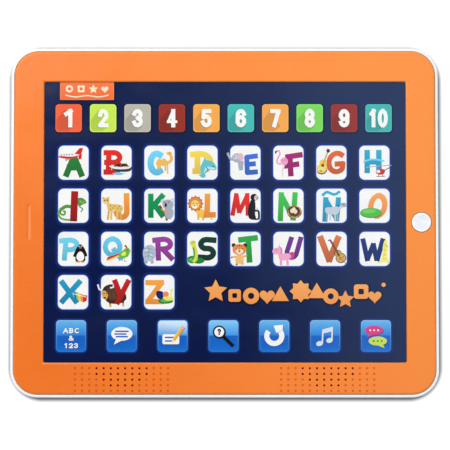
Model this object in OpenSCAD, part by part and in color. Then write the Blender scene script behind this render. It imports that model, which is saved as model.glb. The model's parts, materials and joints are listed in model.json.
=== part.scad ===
// Toy learning tablet: a white rear shell, an orange bezel round a flat membrane keypad, two
// speakers behind a drilled grille, one round power button and a battery bay behind a door.
// The tablet lies on its back, so +Z points out of the keypad and the origin is at the middle
// of the back face. -Y is the speaker edge and +X the power button's side. Millimetres.

/* [Case] */
// Width of the case, X
body_w = 240; // [236:1:252]
// Height of the case, Y
body_h = 196; // [192:1:208]
// Thickness from the back to the top of the bezel, Z
body_t = 18; // [18:0.5:24]
// Corner radius of the case outline
corner_r = 15.5; // [12:0.5:18]
// Radius of the soft edge round the back
back_r = 6; // [3:0.5:6]
// Wall thickness of the rear shell
wall = 1.6; // [1.6:0.1:2.2]

/* [Bezel] */
// Gap between the bezel and the shell's rim
rim_gap = 0.2; // [0.2:0.1:0.6]
// Width of the keypad window
window_w = 203; // [196:0.2:203.4]
// Height of the keypad window
window_h = 157.4; // [150:0.2:158]
// Depth of the printed sheet below the bezel's top
recess_depth = 1.4; // [1:0.1:1.6]
// Radius of the bezel's outer edge
bezel_edge_r = 1.4; // [0.8:0.2:2]

/* [Grille] */
// Diameter of one grille hole
grille_d = 1.25; // [0.8:0.05:1.6]
// Distance between grille columns
grille_pitch_x = 3.99; // [3.4:0.01:4]
// Distance between grille rows
grille_pitch_y = 3.17; // [2.6:0.01:3.2]

/* [Power button] */
// Diameter of the button's cap
button_d = 10.8; // [10:0.2:11.4]
// How far the button travels when it is pressed
button_travel = 0.6; // [0.3:0.1:0.6]

/* [Battery bay] */
// Diameter of one AAA cell
cell_d = 10.5; // [9.8:0.1:10.5]
// Length of one AAA cell with its nub
cell_l = 44.5; // [43.3:0.1:44.5]

/* [Back] */
// Width of the blank label recess in the back
label_w = 84; // [60:1:100]
// Height of the blank label recess in the back
label_h = 36; // [24:1:40]

/* [Hidden] */

$fn = 48;
eps = 0.01;

// Heights of the layers, from the bezel's top down
rim_z = body_t - 1.1;
overlay_t = 0.4;
overlay_top = body_t - recess_depth;
membrane_t = 0.2;
plate_top = overlay_top - overlay_t - 3 * membrane_t;
plate_t = 1.6;
plate_z = plate_top - plate_t;

// Rear shell
label_y = -38;
label_depth = 0.3;
ledge_w = 1.4;
ledge_h = 1.6;
rim_edge_r = 0.9;
arc_steps = 8;

// Bezel
bezel_w = body_w - 2 * (wall + rim_gap);
bezel_h = body_h - 2 * (wall + rim_gap);
bezel_r = corner_r - wall - rim_gap;
window_x = 0.2;
window_y = 0.28;
window_r = 1;
overlay_margin = 1.3;
pocket_gap = 0.25;
lip_bevels = [[0.95, 0.12], [0.5, 0.4], [0.18, 0.8]];
groove_x = -109.5;
groove_l = 19.3;
groove_w = 1.4;
groove_depth = 0.9;
groove_bevel = 1.2;

// Screws that close the case, in posts of the bezel
case_screw_xy = [[-108, 86.5], [0, 87], [108, 86.5], [-108, -86.5], [0, -87], [108, -86.5]];
post_r = 3.5;
post_z = 7;
case_screw_r = 1.4;
case_head_r = 2.7;
case_head_h = 1.9;
case_head_z = 2.2;
case_seat_z = case_head_z + case_head_h;
boss_r = 4.8;

// Screws that hold the support plate against the bezel
plate_screw_xy = [[-109, 45], [109, 45], [-109, -45], [109, -45], [-55, 88], [55, 88],
    [-22, -88], [22, -88], [-93, -88], [93, -88]];
plate_screw_r = 0.8;
plate_head_r = 1.7;
plate_head_h = 1.1;
plate_screw_top = plate_top + 1.4;

// Speakers: 36 mm drivers whose lower halves lie behind the grille
speaker_x = 57.5;
speaker_y = -76.5;
speaker_r = 17.6;
port_r = 16.3;
port_edge_y = window_y - window_h / 2 - overlay_margin - 0.55;
gasket_t = 0.5;
flange_t = 1;
flange_z = plate_z - gasket_t - flange_t;
basket_r = 15.6;
basket_z = flange_z - 3.4;
magnet_r = 8;
magnet_z = basket_z - 3.6;
cone_r = 14.4;
coil_r = 4.2;
clip_reach = 20.4;
grille_cols = 14;
grille_rows = 5;
grille_top_y = -81.5;
dimple_depth = 0.45;
open_half_columns = [4, 4, 3, 2, 0];

// Power button and its switch
button_x = 110.2;
button_y = 0;
button_top = body_t + 0.4;
button_gap = 0.3;
button_flange = [10.6, 16, 1];
button_flange_z = plate_top - 1.1;
dish_r = 40;
dish_depth = 0.25;
switch_w = 6;
switch_z = 8.4;
switch_h = 3.6;
plunger_r = 1.7;
dome_z = switch_z + 0.5;
dome_t = 0.12;
dome_h = button_travel + 0.1;
plunger_z = dome_z + dome_h;
plunger_top = 12.6;
switch_board = [12, 27, 1.2];
switch_screw_y = 10.5;

// Battery bay, cells along X, and its door in the back
bay_y = 22;
bay_l = 52;
bay_h = 33.6;
bay_wall = 1.4;
cell_pitch = 11.1;
cell_z = 7.1;
bay_top = 12.6;
contact_t = 0.4;
spring_wire_r = 0.3;
door_recess = 0.2;
door_t = 1.4;
door_gap = 0.3;
door_x = 28.7;
door_y0 = 2.3;
hinge_y = 46;
hinge_gap = 0.25;
door_seat_z = 1.7;
frame_top = 3.4;
tab_x = 16;
tab_w = 10;
tab_z = 1.95;
tab_t = 1.2;
tab_y0 = 42.4;
tab_y1 = 48.6;
door_screw_y = -0.5;
door_ear_r = 4.7;
door_ear_t = 2.4;
door_ear_seat_z = 2.7;
door_screw_r = 1.25;
door_head_r = 2.5;
door_head_z = 0.5;
door_head_h = 1.2;
door_screw_tip = 7;
door_boss_r = 4;
door_boss_top = 8.8;
door_bore_r = 2.2;

// Main board
board = [56, 40, 1.6];
board_xy = [72, -30];
board_z = 6;
board_top = board_z + board[2];
board_hole = [24.5, 16.5];
tail_w = 18;
tail_x = 73;
tail_y = -3.2;
tail_z = 9;
tail_t = 0.2;
tail_bend_r = 1.4;
connector_y = -15.2;

// Pillars under the keypad, and low ribs on the floor
pillar_xy = [[-80, 60], [-80, 10], [-80, -40], [-40, 60], [-40, -30], [0, 66], [40, 60],
    [80, 60], [80, 20], [0, -50]];
pillar_r = 2.6;
rib_x = [-95, -58];
rib_t = 1.2;
rib_h = 2.6;

// Wires: routes as hand-set points, one list for each wire
wire_r = 0.6;
red_route = [[28.95, 33.1, 8], [33, 32, 8], [38, 22, 6.4], [44, 2, 6.4], [50, -9, 10],
    [53, -14, 10.2], [54, -16, 8.1]];
black_route = [[-28.95, 10.9, 8], [-33, 9, 8], [-35.5, -2, 5], [-24, -13, 4], [0, -15, 4],
    [28, -15, 4.6], [42, -17, 9.6], [48, -19, 10], [49, -21, 8.1]];
left_speaker_route = [[-50, -58.4, 11.9], [-49, -55, 10.6], [-45, -51, 7], [-34, -47, 4], [-10, -42.5, 4],
    [26, -38, 4], [41, -36, 9.4], [47, -35, 10], [48.4, -35, 8.1]];
right_speaker_route = [[50, -58.4, 11.9], [50, -55, 11], [51, -48, 10.4], [52, -43, 8.25]];
switch_route = [[106.7, -6.6, 8.9], [106, -9, 10.2], [102.5, -15, 11.2], [98, -21, 10],
    [97, -22, 8.1]];

// Colours of the plastics and metals
orange = [0.96, 0.55, 0.24];
warm_white = [0.95, 0.94, 0.91];
navy = [0.07, 0.12, 0.32];
circuit_green = [0.07, 0.35, 0.2];
steel = [0.75, 0.76, 0.78];
black = [0.08, 0.08, 0.09];

// Points of an arc about (x, z) from angle a to angle b
function arc(x, z, r, a, b, steps = arc_steps) =
    [for (i = [0:steps]) let (t = a + (b - a) * i / steps) [x + r * cos(t), z + r * sin(t)]];

// A filled rectangle with round corners, about the origin
module round_rect(w, h, r) {
    square([w - 2 * r, h], center = true);
    square([w, h - 2 * r], center = true);
    for (x = [-1, 1], y = [-1, 1])
        translate([x * (w / 2 - r), y * (h / 2 - r)]) circle(r);
}

module round_plate(w, h, r, z, t) {
    translate([0, 0, z]) linear_extrude(t) round_rect(w, h, r);
}

// Carries a wall's profile round a rounded rectangle. The profile's x is measured out from the
// corner's centre line and its y is the height.
module sweep_round(w, h, r) {
    a = w / 2 - r;
    b = h / 2 - r;
    for (i = [0:3]) {
        side_x = i % 2 == 0 ? a : b;
        side_y = i % 2 == 0 ? b : a;
        rotate([0, 0, 90 * i]) translate([side_x, side_y, 0]) {
            rotate_extrude(angle = 90) children();
            rotate([90, 0, 0]) linear_extrude(2 * side_y) children();
        }
    }
}

// A plate whose corner is at the lowest x, y and z
module block(x0, x1, y0, y1, z0, z1) {
    translate([x0, y0, z0]) cube([x1 - x0, y1 - y0, z1 - z0]);
}

module at(points) {
    for (p = points) translate([p[0], p[1], 0]) children();
}

module rod(r, z0, z1) {
    translate([0, 0, z0]) cylinder(r = r, h = z1 - z0);
}

// A pan-head screw pointing up: head at z, shank to tip, with a cross recess in the head
module screw_up(head_r, head_h, shank_r, z, tip) {
    difference() {
        union() {
            rod(head_r, z, z + head_h);
            rod(shank_r, z + head_h - eps, tip);
        }
        for (a = [0, 90])
            rotate([0, 0, a])
                block(-head_r * 0.6, head_r * 0.6, -head_r * 0.13, head_r * 0.13,
                    z - 1, z + head_h * 0.55);
    }
}

// The same screw pointing down: its head ends at the height top
module screw_down(head_r, head_h, shank_r, top, tip) {
    translate([0, 0, top]) mirror([0, 0, 1]) screw_up(head_r, head_h, shank_r, 0, top - tip);
}

// ---- tube swept along a route -------------------------------------------------------------
tube_sides = 8;

function unit(v) = v / norm(v);

// Direction of a route at point i, halfway between the stretches that meet there
function heading(route, i) =
    let (last = len(route) - 1)
    unit(route[min(i + 1, last)] - route[max(i - 1, 0)]);

// One ring of a tube about the route's point i, turned so that two corners lie square to axis
function ring(route, i, r, sides, axis) =
    let (d = heading(route, i), side = unit(cross(d, axis)), up = cross(side, d))
    [for (k = [0:sides - 1]) route[i] + r * (cos(360 * k / sides) * side
        + sin(360 * k / sides) * up)];

// A round tube along a route that never runs along axis
module tube(route, r, sides = tube_sides, axis = [0, 0, 1]) {
    rings = len(route);
    points = [for (i = [0:rings - 1]) each ring(route, i, r, sides, axis)];
    start_cap = [for (k = [sides - 1:-1:0]) k];
    end_cap = [for (k = [0:sides - 1]) (rings - 1) * sides + k];
    walls = [for (i = [0:rings - 2], k = [0:sides - 1])
        let (n = (k + 1) % sides, a = i * sides, b = a + sides)
        each [[a + k, a + n, b + n], [a + k, b + n, b + k]]];
    polyhedron(points, concat([start_cap], walls, [end_cap]));
}

// ---- casing -------------------------------------------------------------------------------
// Section of the shell's wall, from the corner's centre line out to the rim
module shell_section() {
    back_x = corner_r - back_r;
    inner_x = corner_r - wall;
    ledge_x = inner_x - ledge_w;
    polygon(concat(
        [[0, 0]],
        arc(back_x, back_r, back_r, -90, 0),
        arc(corner_r - rim_edge_r, rim_z - rim_edge_r, rim_edge_r, 0, 90, 4),
        [[inner_x, rim_z], [inner_x, plate_top], [ledge_x, plate_top],
            [ledge_x, plate_top - ledge_h], [inner_x, plate_top - ledge_h - ledge_w]],
        arc(back_x, back_r, back_r - wall, 0, -90),
        [[0, wall]]));
}

// Outline of the battery door, grown by a gap
module door_outline(gap) {
    edge = hinge_y - hinge_gap;
    translate([-door_x - gap, door_y0 - gap])
        square([2 * (door_x + gap), edge - door_y0 + (gap > 0 ? 2 * hinge_gap : 0) + gap]);
    translate([0, door_screw_y]) circle(door_ear_r + gap);
}

module battery_bay_walls() {
    x = bay_l / 2 + bay_wall;
    y = bay_h / 2 + bay_wall;
    block(-x, x, bay_y - y, bay_y + y, eps, bay_top + bay_wall);
    block(-door_x - 3.3, door_x + 3.3, door_y0 - 3.3, hinge_y + 4, eps, frame_top);
    translate([0, door_screw_y, 0]) rod(door_ear_r + 3.3, eps, frame_top);
    translate([0, door_screw_y, 0]) rod(door_boss_r, eps, door_boss_top);
}

module battery_bay_cuts() {
    translate([0, 0, -eps]) linear_extrude(door_seat_z + eps) door_outline(door_gap);
    block(-bay_l / 2, bay_l / 2, bay_y - bay_h / 2, bay_y + bay_h / 2, -1, bay_top);
    for (x = [-tab_x, tab_x]) {
        half = tab_w / 2 + 0.6;
        block(x - half, x + half, 40.4, hinge_y + hinge_gap, -1, frame_top + 1);
        block(x - half, x + half, 40.4, hinge_y + 3.6, wall, frame_top + 1);
    }
    translate([0, door_screw_y, 0]) {
        rod(door_ear_r + door_gap + 0.05, -1, door_ear_seat_z);
        rod(door_bore_r, -1, door_boss_top - 0.8);
    }
    // slots for the solder tails of the two terminals
    block(bay_l / 2 - 1, bay_l / 2 + bay_wall + 1, cell_y(1) - 1.6, cell_y(1) + 1.6, 6.4, 9.6);
    block(-bay_l / 2 - bay_wall - 1, 1 - bay_l / 2, cell_y(3) - 1.6, cell_y(3) + 1.6, 6.4, 9.6);
}

module rear_shell() {
    color(warm_white) difference() {
        union() {
            sweep_round(body_w, body_h, corner_r) shell_section();
            block(corner_r - body_w / 2, body_w / 2 - corner_r,
                corner_r - body_h / 2, body_h / 2 - corner_r, 0, wall);
            battery_bay_walls();
            at(case_screw_xy) rod(boss_r, eps, post_z - 0.2);
            at(pillar_xy) rod(pillar_r, eps, plate_z - 0.05);
            for (x = rib_x)
                block(x - rib_t / 2, x + rib_t / 2, -56, 84, eps, wall + rib_h);
            translate([board_xy[0], board_xy[1], 0])
                for (x = [-1, 1], y = [-1, 1])
                    translate([x * board_hole[0], y * board_hole[1], 0]) rod(3, eps, board_z);
            translate([button_x, button_y, 0])
                for (y = [-1, 1])
                    translate([0, y * switch_screw_y, 0])
                        rod(2.4, eps, switch_z - switch_board[2]);
        }
        battery_bay_cuts();
        translate([0, label_y, 0]) round_plate(label_w, label_h, 3, -1, 1 + label_depth);
        at(case_screw_xy) {
            rod(case_head_r + 0.4, -1, case_seat_z);
            rod(case_screw_r + 0.3, 0, post_z);
        }
        translate([board_xy[0], board_xy[1], 0])
            for (x = [-1, 1], y = [-1, 1])
                translate([x * board_hole[0], y * board_hole[1], 0]) rod(1.05, 2.6, board_z + 1);
        translate([button_x, button_y, 0])
            for (y = [-1, 1])
                translate([0, y * switch_screw_y, 0]) rod(0.85, 3, switch_z);
    }
}

// Section of the bezel's outer strip, from its corner's centre line out to its edge
module bezel_section() {
    polygon(concat(
        [[0, plate_top], [bezel_r, plate_top]],
        arc(bezel_r - bezel_edge_r, body_t - bezel_edge_r, bezel_edge_r, 0, 90),
        [[0, body_t]]));
}

module window_cut(grow, z0, z1) {
    translate([window_x, window_y, 0])
        round_plate(window_w + 2 * grow, window_h + 2 * grow, window_r + grow, z0, z1 - z0);
}

// Steps of the window's rounded lip, each a plate that widens towards the top
module window_lip_cut() {
    for (b = lip_bevels)
        translate([window_x, window_y, 0]) hull() {
            for (s = [0, 1])
                translate([0, 0, body_t - b[0] + s * (b[0] + eps)])
                    linear_extrude(eps)
                        square([window_w + 2 * (s * b[1] + s * 0.02),
                            window_h + 2 * (s * b[1] + s * 0.02)], center = true);
        }
}

module slot_outline(l, w) {
    square([w, l - w], center = true);
    for (y = [-1, 1]) translate([0, y * (l - w) / 2]) circle(w / 2);
}

module grille_cuts(side) {
    for (row = [0:grille_rows - 1], col = [0:grille_cols - 1]) {
        across = col - (grille_cols - 1) / 2;
        open = abs(across) < open_half_columns[row];
        translate([side * speaker_x + across * grille_pitch_x,
            grille_top_y - row * grille_pitch_y, 0])
            rod(grille_d / 2, open ? plate_top - 1 : body_t - dimple_depth, body_t + 1);
    }
}

module front_bezel() {
    color(orange) difference() {
        union() {
            sweep_round(bezel_w, bezel_h, bezel_r) bezel_section();
            block(bezel_r - bezel_w / 2, bezel_w / 2 - bezel_r,
                bezel_r - bezel_h / 2, bezel_h / 2 - bezel_r, plate_top, body_t);
            at(case_screw_xy) rod(post_r, post_z, plate_top + eps);
        }
        window_cut(0, 0, body_t + 1);
        window_cut(overlay_margin + pocket_gap, plate_top - 1, overlay_top);
        window_lip_cut();
        for (side = [-1, 1]) grille_cuts(side);
        translate([button_x, button_y, 0])
            rod(button_d / 2 + button_gap, plate_top - 1, body_t + 1);
        translate([groove_x, 0, body_t - groove_depth])
            linear_extrude(groove_depth + 1) slot_outline(groove_l, groove_w);
        translate([groove_x, 0, body_t - 0.35]) linear_extrude(1)
            slot_outline(groove_l + groove_bevel, groove_w + groove_bevel);
        at(case_screw_xy) rod(case_screw_r + 0.05, post_z - 1, plate_top + 0.6);
        at(plate_screw_xy) rod(plate_screw_r + 0.05, plate_top - 1, plate_screw_top + 0.1);
    }
}

module case_screws() {
    color(steel) at(case_screw_xy)
        screw_up(case_head_r, case_head_h, case_screw_r, case_head_z, plate_top - 0.4);
}

// ---- keypad -------------------------------------------------------------------------------
// One sheet of the keypad between two heights
module keypad_sheet(z, t) {
    translate([window_x, window_y, 0])
        round_plate(window_w + 2 * overlay_margin, window_h + 2 * overlay_margin,
            window_r + overlay_margin, z, t);
}

module printed_overlay() {
    color(navy) keypad_sheet(overlay_top - overlay_t, overlay_t);
}

module membrane_upper() {
    color("gainsboro") keypad_sheet(plate_top + 2 * membrane_t, membrane_t);
}

number_keys = [for (i = [0:9]) [-87.2 + 19.33 * i, 58.6]];
letter_keys = [for (row = [0:3], col = [0:7]) if (row < 3 || col < 3)
    [-84.5 + 24.13 * col, 33.4 - 24.17 * row]];
function_keys = [for (i = [0:6]) [-85.6 + 28.4 * i, -63.6]];
key_hole_r = 4.5;

module membrane_spacer() {
    color("whitesmoke") difference() {
        keypad_sheet(plate_top + membrane_t, membrane_t);
        at(concat(number_keys, letter_keys, function_keys))
            rod(key_hole_r, plate_top, plate_top + 1);
    }
}

module membrane_lower() {
    color("silver") keypad_sheet(plate_top, membrane_t);
}

// A thin flat strip that drops from the lower sheet, bends and runs into its connector
module membrane_tail() {
    bend_y = tail_y - tail_bend_r;
    bend_z = tail_z + tail_bend_r;
    outer = arc(bend_y, bend_z, tail_bend_r + tail_t, 0, -90);
    inner = arc(bend_y, bend_z, tail_bend_r, -90, 0);
    color("khaki") translate([tail_x - tail_w / 2, 0, 0])
        rotate([90, 0, 90]) linear_extrude(tail_w)
            polygon(concat([[tail_y + tail_t, plate_top]], outer,
                [[connector_y, tail_z - tail_t], [connector_y, tail_z]], inner,
                [[tail_y, plate_top]]));
}

module support_plate() {
    inset = wall + ledge_w + 0.4;
    color("lightgrey") difference() {
        round_plate(body_w - 2 * inset, body_h - 2 * inset, corner_r - inset, plate_z, plate_t);
        at(case_screw_xy) rod(post_r + 0.5, plate_z - 1, plate_top + 1);
        at(plate_screw_xy) rod(plate_screw_r + 0.4, plate_z - 1, plate_top + 1);
        for (side = [-1, 1]) {
            translate([0, 0, plate_z - 1]) linear_extrude(plate_t + 2) port_outline(side, 0);
            for (s = [-1, 1])
                translate([side * speaker_x + s * clip_reach, speaker_y, 0])
                    rod(0.85, plate_z - 1, plate_top - 0.4);
        }
        block(button_x - 6.2, body_w / 2, button_y - 9, button_y + 9, plate_z - 1, plate_top + 1);
        block(tail_x - tail_w / 2 - 1, tail_x + tail_w / 2 + 1, tail_y - 0.8, tail_y + 1,
            plate_z - 1, plate_top + 1);
    }
}

module support_plate_screws() {
    color(steel) at(plate_screw_xy)
        screw_up(plate_head_r, plate_head_h, plate_screw_r, plate_z - plate_head_h,
            plate_screw_top);
}

// ---- speakers -----------------------------------------------------------------------------
// The half disc of a speaker's sound port, drawn in by a margin
module port_outline(side, margin) {
    intersection() {
        translate([side * speaker_x, speaker_y]) circle(port_r - margin);
        translate([side * speaker_x - 30, port_edge_y - margin - 30]) square([60, 30]);
    }
}

module at_speaker(side) {
    translate([side * speaker_x, speaker_y, 0]) children();
}

module speaker_frame(side) {
    terminal_x = -side * 7.6;
    color(steel) at_speaker(side) block(terminal_x - 3, terminal_x + 3, speaker_r - 3.4,
        speaker_r + 2.8, flange_z, flange_z + flange_t);
    color(steel) at_speaker(side) difference() {
        rotate_extrude() polygon([[3, basket_z], [basket_r - 3, basket_z],
            [basket_r + 0.2, basket_z + 2], [basket_r + 0.2, flange_z], [speaker_r, flange_z],
            [speaker_r, flange_z + flange_t], [cone_r + 0.5, flange_z + flange_t],
            [cone_r + 0.5, basket_z + 2.4], [basket_r - 3.4, basket_z + 0.8],
            [coil_r + 0.9, basket_z + 0.8], [coil_r + 0.9, basket_z + 0.4],
            [3, basket_z + 0.4]]);
        rod(coil_r + 0.8, basket_z - 1, basket_z + 1);
        for (a = [45, 135, 225, 315])
            rotate([0, 0, a]) block(6.8, 8.8, -2.4, 2.4, basket_z - 1, basket_z + 3);
    }
}

module speaker_magnet(side) {
    color("dimgray") at_speaker(side) difference() {
        rod(magnet_r, magnet_z, basket_z);
        difference() {
            rod(coil_r + 0.5, basket_z - 2.4, basket_z + 1);
            rod(coil_r - 0.6, basket_z - 3, basket_z + 1);
        }
    }
}

module speaker_coil(side) {
    color("peru") at_speaker(side) difference() {
        rod(coil_r, basket_z - 1.8, basket_z + 1.2);
        rod(coil_r - 0.25, basket_z - 3, basket_z + 2);
    }
}

// Paper cone with a domed cap over the coil
module speaker_cone(side) {
    top = flange_z + flange_t - 0.2;
    neck = basket_z + 1.2;
    color(black) at_speaker(side) rotate_extrude() polygon(concat(
        [[0, neck + 1.6]],
        [for (i = [1:arc_steps - 1]) let (a = 90 * i / arc_steps)
            [(coil_r + 0.6) * sin(a), neck + 0.6 + cos(a)]],
        [[coil_r + 0.9, neck + 0.5], [cone_r - 2.2, top - 0.35], [cone_r - 1.1, top],
            [cone_r, top - 0.25], [cone_r, top - 0.5], [cone_r - 1.1, top - 0.25],
            [cone_r - 2.1, top - 0.7], [coil_r + 0.6, neck], [0, neck]]));
}

module speaker_gasket(side) {
    color("gray") at_speaker(side) difference() {
        rod(speaker_r, plate_z - gasket_t, plate_z);
        rod(port_r - 0.6, plate_z - 1, plate_z + 1);
    }
}

module grille_cloth(side) {
    color(black) translate([0, 0, plate_top - 0.3]) linear_extrude(0.3) port_outline(side, 0.4);
}

module speaker_clips() {
    color(steel) for (side = [-1, 1], s = [-1, 1])
        at_speaker(side) rotate([0, 0, s > 0 ? 0 : 180]) difference() {
            union() {
                block(clip_reach - 4.6, clip_reach + 2.6, -3, 3, flange_z - 0.6, flange_z);
                block(speaker_r + 0.2, clip_reach + 2.6, -3, 3, flange_z - eps, plate_z);
            }
            translate([clip_reach, 0, 0]) rod(1.1, flange_z - 1, plate_z + 1);
        }
}

module speaker_clip_screws() {
    color(steel) for (side = [-1, 1], s = [-1, 1])
        translate([side * speaker_x + s * clip_reach, speaker_y, 0])
            screw_up(1.8, 1.1, 0.8, flange_z - 0.6 - 1.1, plate_top - 0.6);
}

// ---- power button -------------------------------------------------------------------------
module power_button_cap() {
    r = button_d / 2;
    edge = 0.5;
    color("ghostwhite") translate([button_x, button_y, 0]) difference() {
        union() {
            rotate_extrude() polygon(concat(
                [[0, button_flange_z + eps], [r, button_flange_z + eps]],
                arc(r - edge, button_top - edge, edge, 0, 90, 4), [[0, button_top]]));
            block(-button_flange[0] / 2, button_flange[0] / 2, -button_flange[1] / 2,
                button_flange[1] / 2, button_flange_z, button_flange_z + button_flange[2]);
            rod(1.6, plunger_top, button_flange_z + eps);
        }
        translate([0, 0, button_top + dish_r - dish_depth]) sphere(dish_r);
    }
}

module power_switch_plunger() {
    color(black) translate([button_x, button_y, 0]) rod(plunger_r, plunger_z, plunger_top);
}

module power_switch_body() {
    color("dimgray") translate([button_x, button_y, 0]) difference() {
        block(-switch_w / 2, switch_w / 2, -switch_w / 2, switch_w / 2,
            switch_z, switch_z + switch_h);
        rod(plunger_r + 0.05, dome_z, switch_z + switch_h + 1);
    }
}

module power_switch_dome() {
    color(steel) translate([button_x, button_y, dome_z]) rotate_extrude()
        polygon([[0, dome_h - dome_t], [0.5, dome_h - dome_t], [1.4, 0], [1.6, 0],
            [0.6, dome_h], [0, dome_h]]);
}

module power_switch_board() {
    z = switch_z - switch_board[2];
    color(circuit_green) translate([button_x, button_y, 0]) difference() {
        block(-switch_board[0] / 2, switch_board[0] / 2, -switch_board[1] / 2,
            switch_board[1] / 2, z, switch_z);
        for (y = [-1, 1])
            translate([0, y * switch_screw_y, 0]) rod(1.1, z - 1, switch_z + 1);
    }
}

module power_switch_screws() {
    color(steel) translate([button_x, button_y, 0]) for (y = [-1, 1])
        translate([0, y * switch_screw_y, 0]) screw_down(1.9, 1.2, 0.8, switch_z + 1.2, 3.4);
}

// ---- main board ---------------------------------------------------------------------------
module on_board() {
    translate([board_xy[0], board_xy[1], board_top]) children();
}

module main_board() {
    color(circuit_green) difference() {
        translate([board_xy[0], board_xy[1], 0])
            round_plate(board[0], board[1], 2, board_z, board[2]);
        translate([board_xy[0], board_xy[1], 0])
            for (x = [-1, 1], y = [-1, 1])
                translate([x * board_hole[0], y * board_hole[1], 0])
                    rod(1.4, board_z - 1, board_top + 1);
    }
}

module main_board_screws() {
    color(steel) translate([board_xy[0], board_xy[1], 0])
        for (x = [-1, 1], y = [-1, 1])
            translate([x * board_hole[0], y * board_hole[1], 0])
                screw_down(2.3, 1.4, 1, board_top + 1.4, 3);
}

// Domed epoxy drop that seals the sound chip
module sound_chip_blob() {
    rise = 2.2;
    foot = 8;
    r = (foot * foot + rise * rise) / (2 * rise);
    color(black) on_board() translate([0, -2, 0]) rotate_extrude()
        polygon(concat([[0, 0]], arc(0, rise - r, r, asin((r - rise) / r), 90)));
}

module filter_capacitors() {
    color("midnightblue") on_board() for (p = [[-13, -6], [-13, 1], [21, -3]])
        translate([p[0], p[1], 0]) rotate_extrude()
            polygon([[0, 0], [2.5, 0], [2.5, 0.7], [2.3, 0.9], [2.3, 1.1], [2.5, 1.3],
                [2.5, 5], [2.2, 5.3], [0, 5.3]]);
}

module chip_resistors() {
    color(black) on_board()
        for (p = [[-12, 8], [-8, 8], [-12, -15], [-8, -15], [-4, -15], [12, -15], [16, -15],
            [20, -8], [20, -12], [12, 7]])
            translate([p[0], p[1], 0]) block(-0.65, 0.65, -1, 1, 0, 0.6);
}

module clock_crystal() {
    color(steel) on_board() translate([14, -5, 0]) {
        linear_extrude(3.4) slot_outline(10, 4);
        linear_extrude(0.4) slot_outline(11, 4.8);
    }
}

module tail_connector() {
    z = board_top;
    y0 = connector_y - 1.8;
    y1 = connector_y + 3;
    color("ivory") difference() {
        block(tail_x - tail_w / 2 - 2, tail_x + tail_w / 2 + 2, y0, y1, z, z + 3);
        block(tail_x - tail_w / 2 - 0.3, tail_x + tail_w / 2 + 0.3, connector_y - 0.3, y1 + 1,
            tail_z - tail_t - 0.15, tail_z + 0.15);
    }
}

// ---- battery bay --------------------------------------------------------------------------
function cell_y(i) = bay_y + (2 - i) * cell_pitch;
function cell_side(i) = i == 2 ? -1 : 1;

// One AAA cell along X, with its nub towards its contact plate
module battery_cell(i) {
    nub_l = 0.8;
    tip = bay_l / 2 - contact_t;
    color(i == 2 ? "seagreen" : "darkgreen") translate([0, cell_y(i), cell_z])
        rotate([0, cell_side(i) * 90, 0]) union() {
            rod(1.9, tip - nub_l - 0.2, tip);
            rod(cell_d / 2, tip - cell_l, tip - nub_l);
        }
}

// A contact plate against the bay's end wall, from one cell's height to another's
module contact_plate(side, y0, y1) {
    x = bay_l / 2;
    block(min(side * x, side * (x - contact_t)), max(side * x, side * (x - contact_t)),
        y0 - 4, y1 + 4, cell_z - 4, cell_z + 4);
}

// Conical coil spring that meets a cell's flat end
module contact_spring(side, y) {
    turns = 3;
    steps = 12;
    base = bay_l / 2 - contact_t;
    reach = 2 * base - cell_l - spring_wire_r;
    route = [for (i = [0:turns * steps])
        let (t = i / (turns * steps), a = 360 * i / steps, r = 3.4 - 1.5 * t)
        [side * (base + 0.1 - t * reach), y + r * cos(a), cell_z + r * sin(a)]];
    tube(route, spring_wire_r, 6, [1, 0, 0]);
}

// Tail that a terminal passes through the bay's wall to its wire
module solder_tail(side, y) {
    x0 = bay_l / 2 - contact_t / 2;
    x1 = bay_l / 2 + bay_wall + 1.2;
    block(min(side * x0, side * x1), max(side * x0, side * x1), y - 1.2, y + 1.2,
        cell_z + 0.2, cell_z + 0.6);
}

module battery_bridge_left() {
    color(steel) {
        contact_plate(-1, cell_y(2), cell_y(1));
        contact_spring(-1, cell_y(1));
    }
}

module battery_bridge_right() {
    color(steel) {
        contact_plate(1, cell_y(3), cell_y(2));
        contact_spring(1, cell_y(2));
    }
}

module battery_terminal_plus() {
    color(steel) {
        contact_plate(1, cell_y(1), cell_y(1));
        solder_tail(1, cell_y(1));
    }
}

module battery_terminal_minus() {
    color(steel) {
        contact_plate(-1, cell_y(3), cell_y(3));
        contact_spring(-1, cell_y(3));
        solder_tail(-1, cell_y(3));
    }
}

module battery_door() {
    color(warm_white) difference() {
        union() {
            translate([0, 0, door_recess]) linear_extrude(door_t) door_outline(0);
            translate([0, door_screw_y, 0])
                rod(door_ear_r, door_recess, door_recess + door_ear_t);
            for (x = [-tab_x, tab_x]) {
                block(x - tab_w / 2, x + tab_w / 2, tab_y0, hinge_y - 0.8,
                    door_recess + door_t - eps, tab_z + eps);
                block(x - tab_w / 2, x + tab_w / 2, tab_y0, tab_y1, tab_z, tab_z + tab_t);
            }
        }
        translate([0, door_screw_y, 0]) {
            rod(door_head_r + 0.3, -1, door_head_z + door_head_h);
            rod(door_screw_r + 0.2, -1, 3);
        }
        // grip lines near the screw's end
        for (i = [0:3])
            block(-9, 9, 7.4 + 2.2 * i, 8.2 + 2.2 * i, -1, door_recess + 0.5);
    }
}

module battery_door_screw() {
    color(steel) translate([0, door_screw_y, 0])
        screw_up(door_head_r, door_head_h, door_screw_r, door_head_z, door_screw_tip);
}

// ---- wires --------------------------------------------------------------------------------
module wire_pair(route, gap) {
    color("firebrick") tube(route, wire_r);
    color("darkslategray") tube([for (p = route) p + gap], wire_r);
}

module battery_wire_red() { color("red") tube(red_route, wire_r); }

module battery_wire_black() { color(black) tube(black_route, wire_r); }

module speaker_wires_left() { wire_pair(left_speaker_route, [-1.3, 1.3, 0]); }

module speaker_wires_right() { wire_pair(right_speaker_route, [1.7, 0, 0]); }

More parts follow.
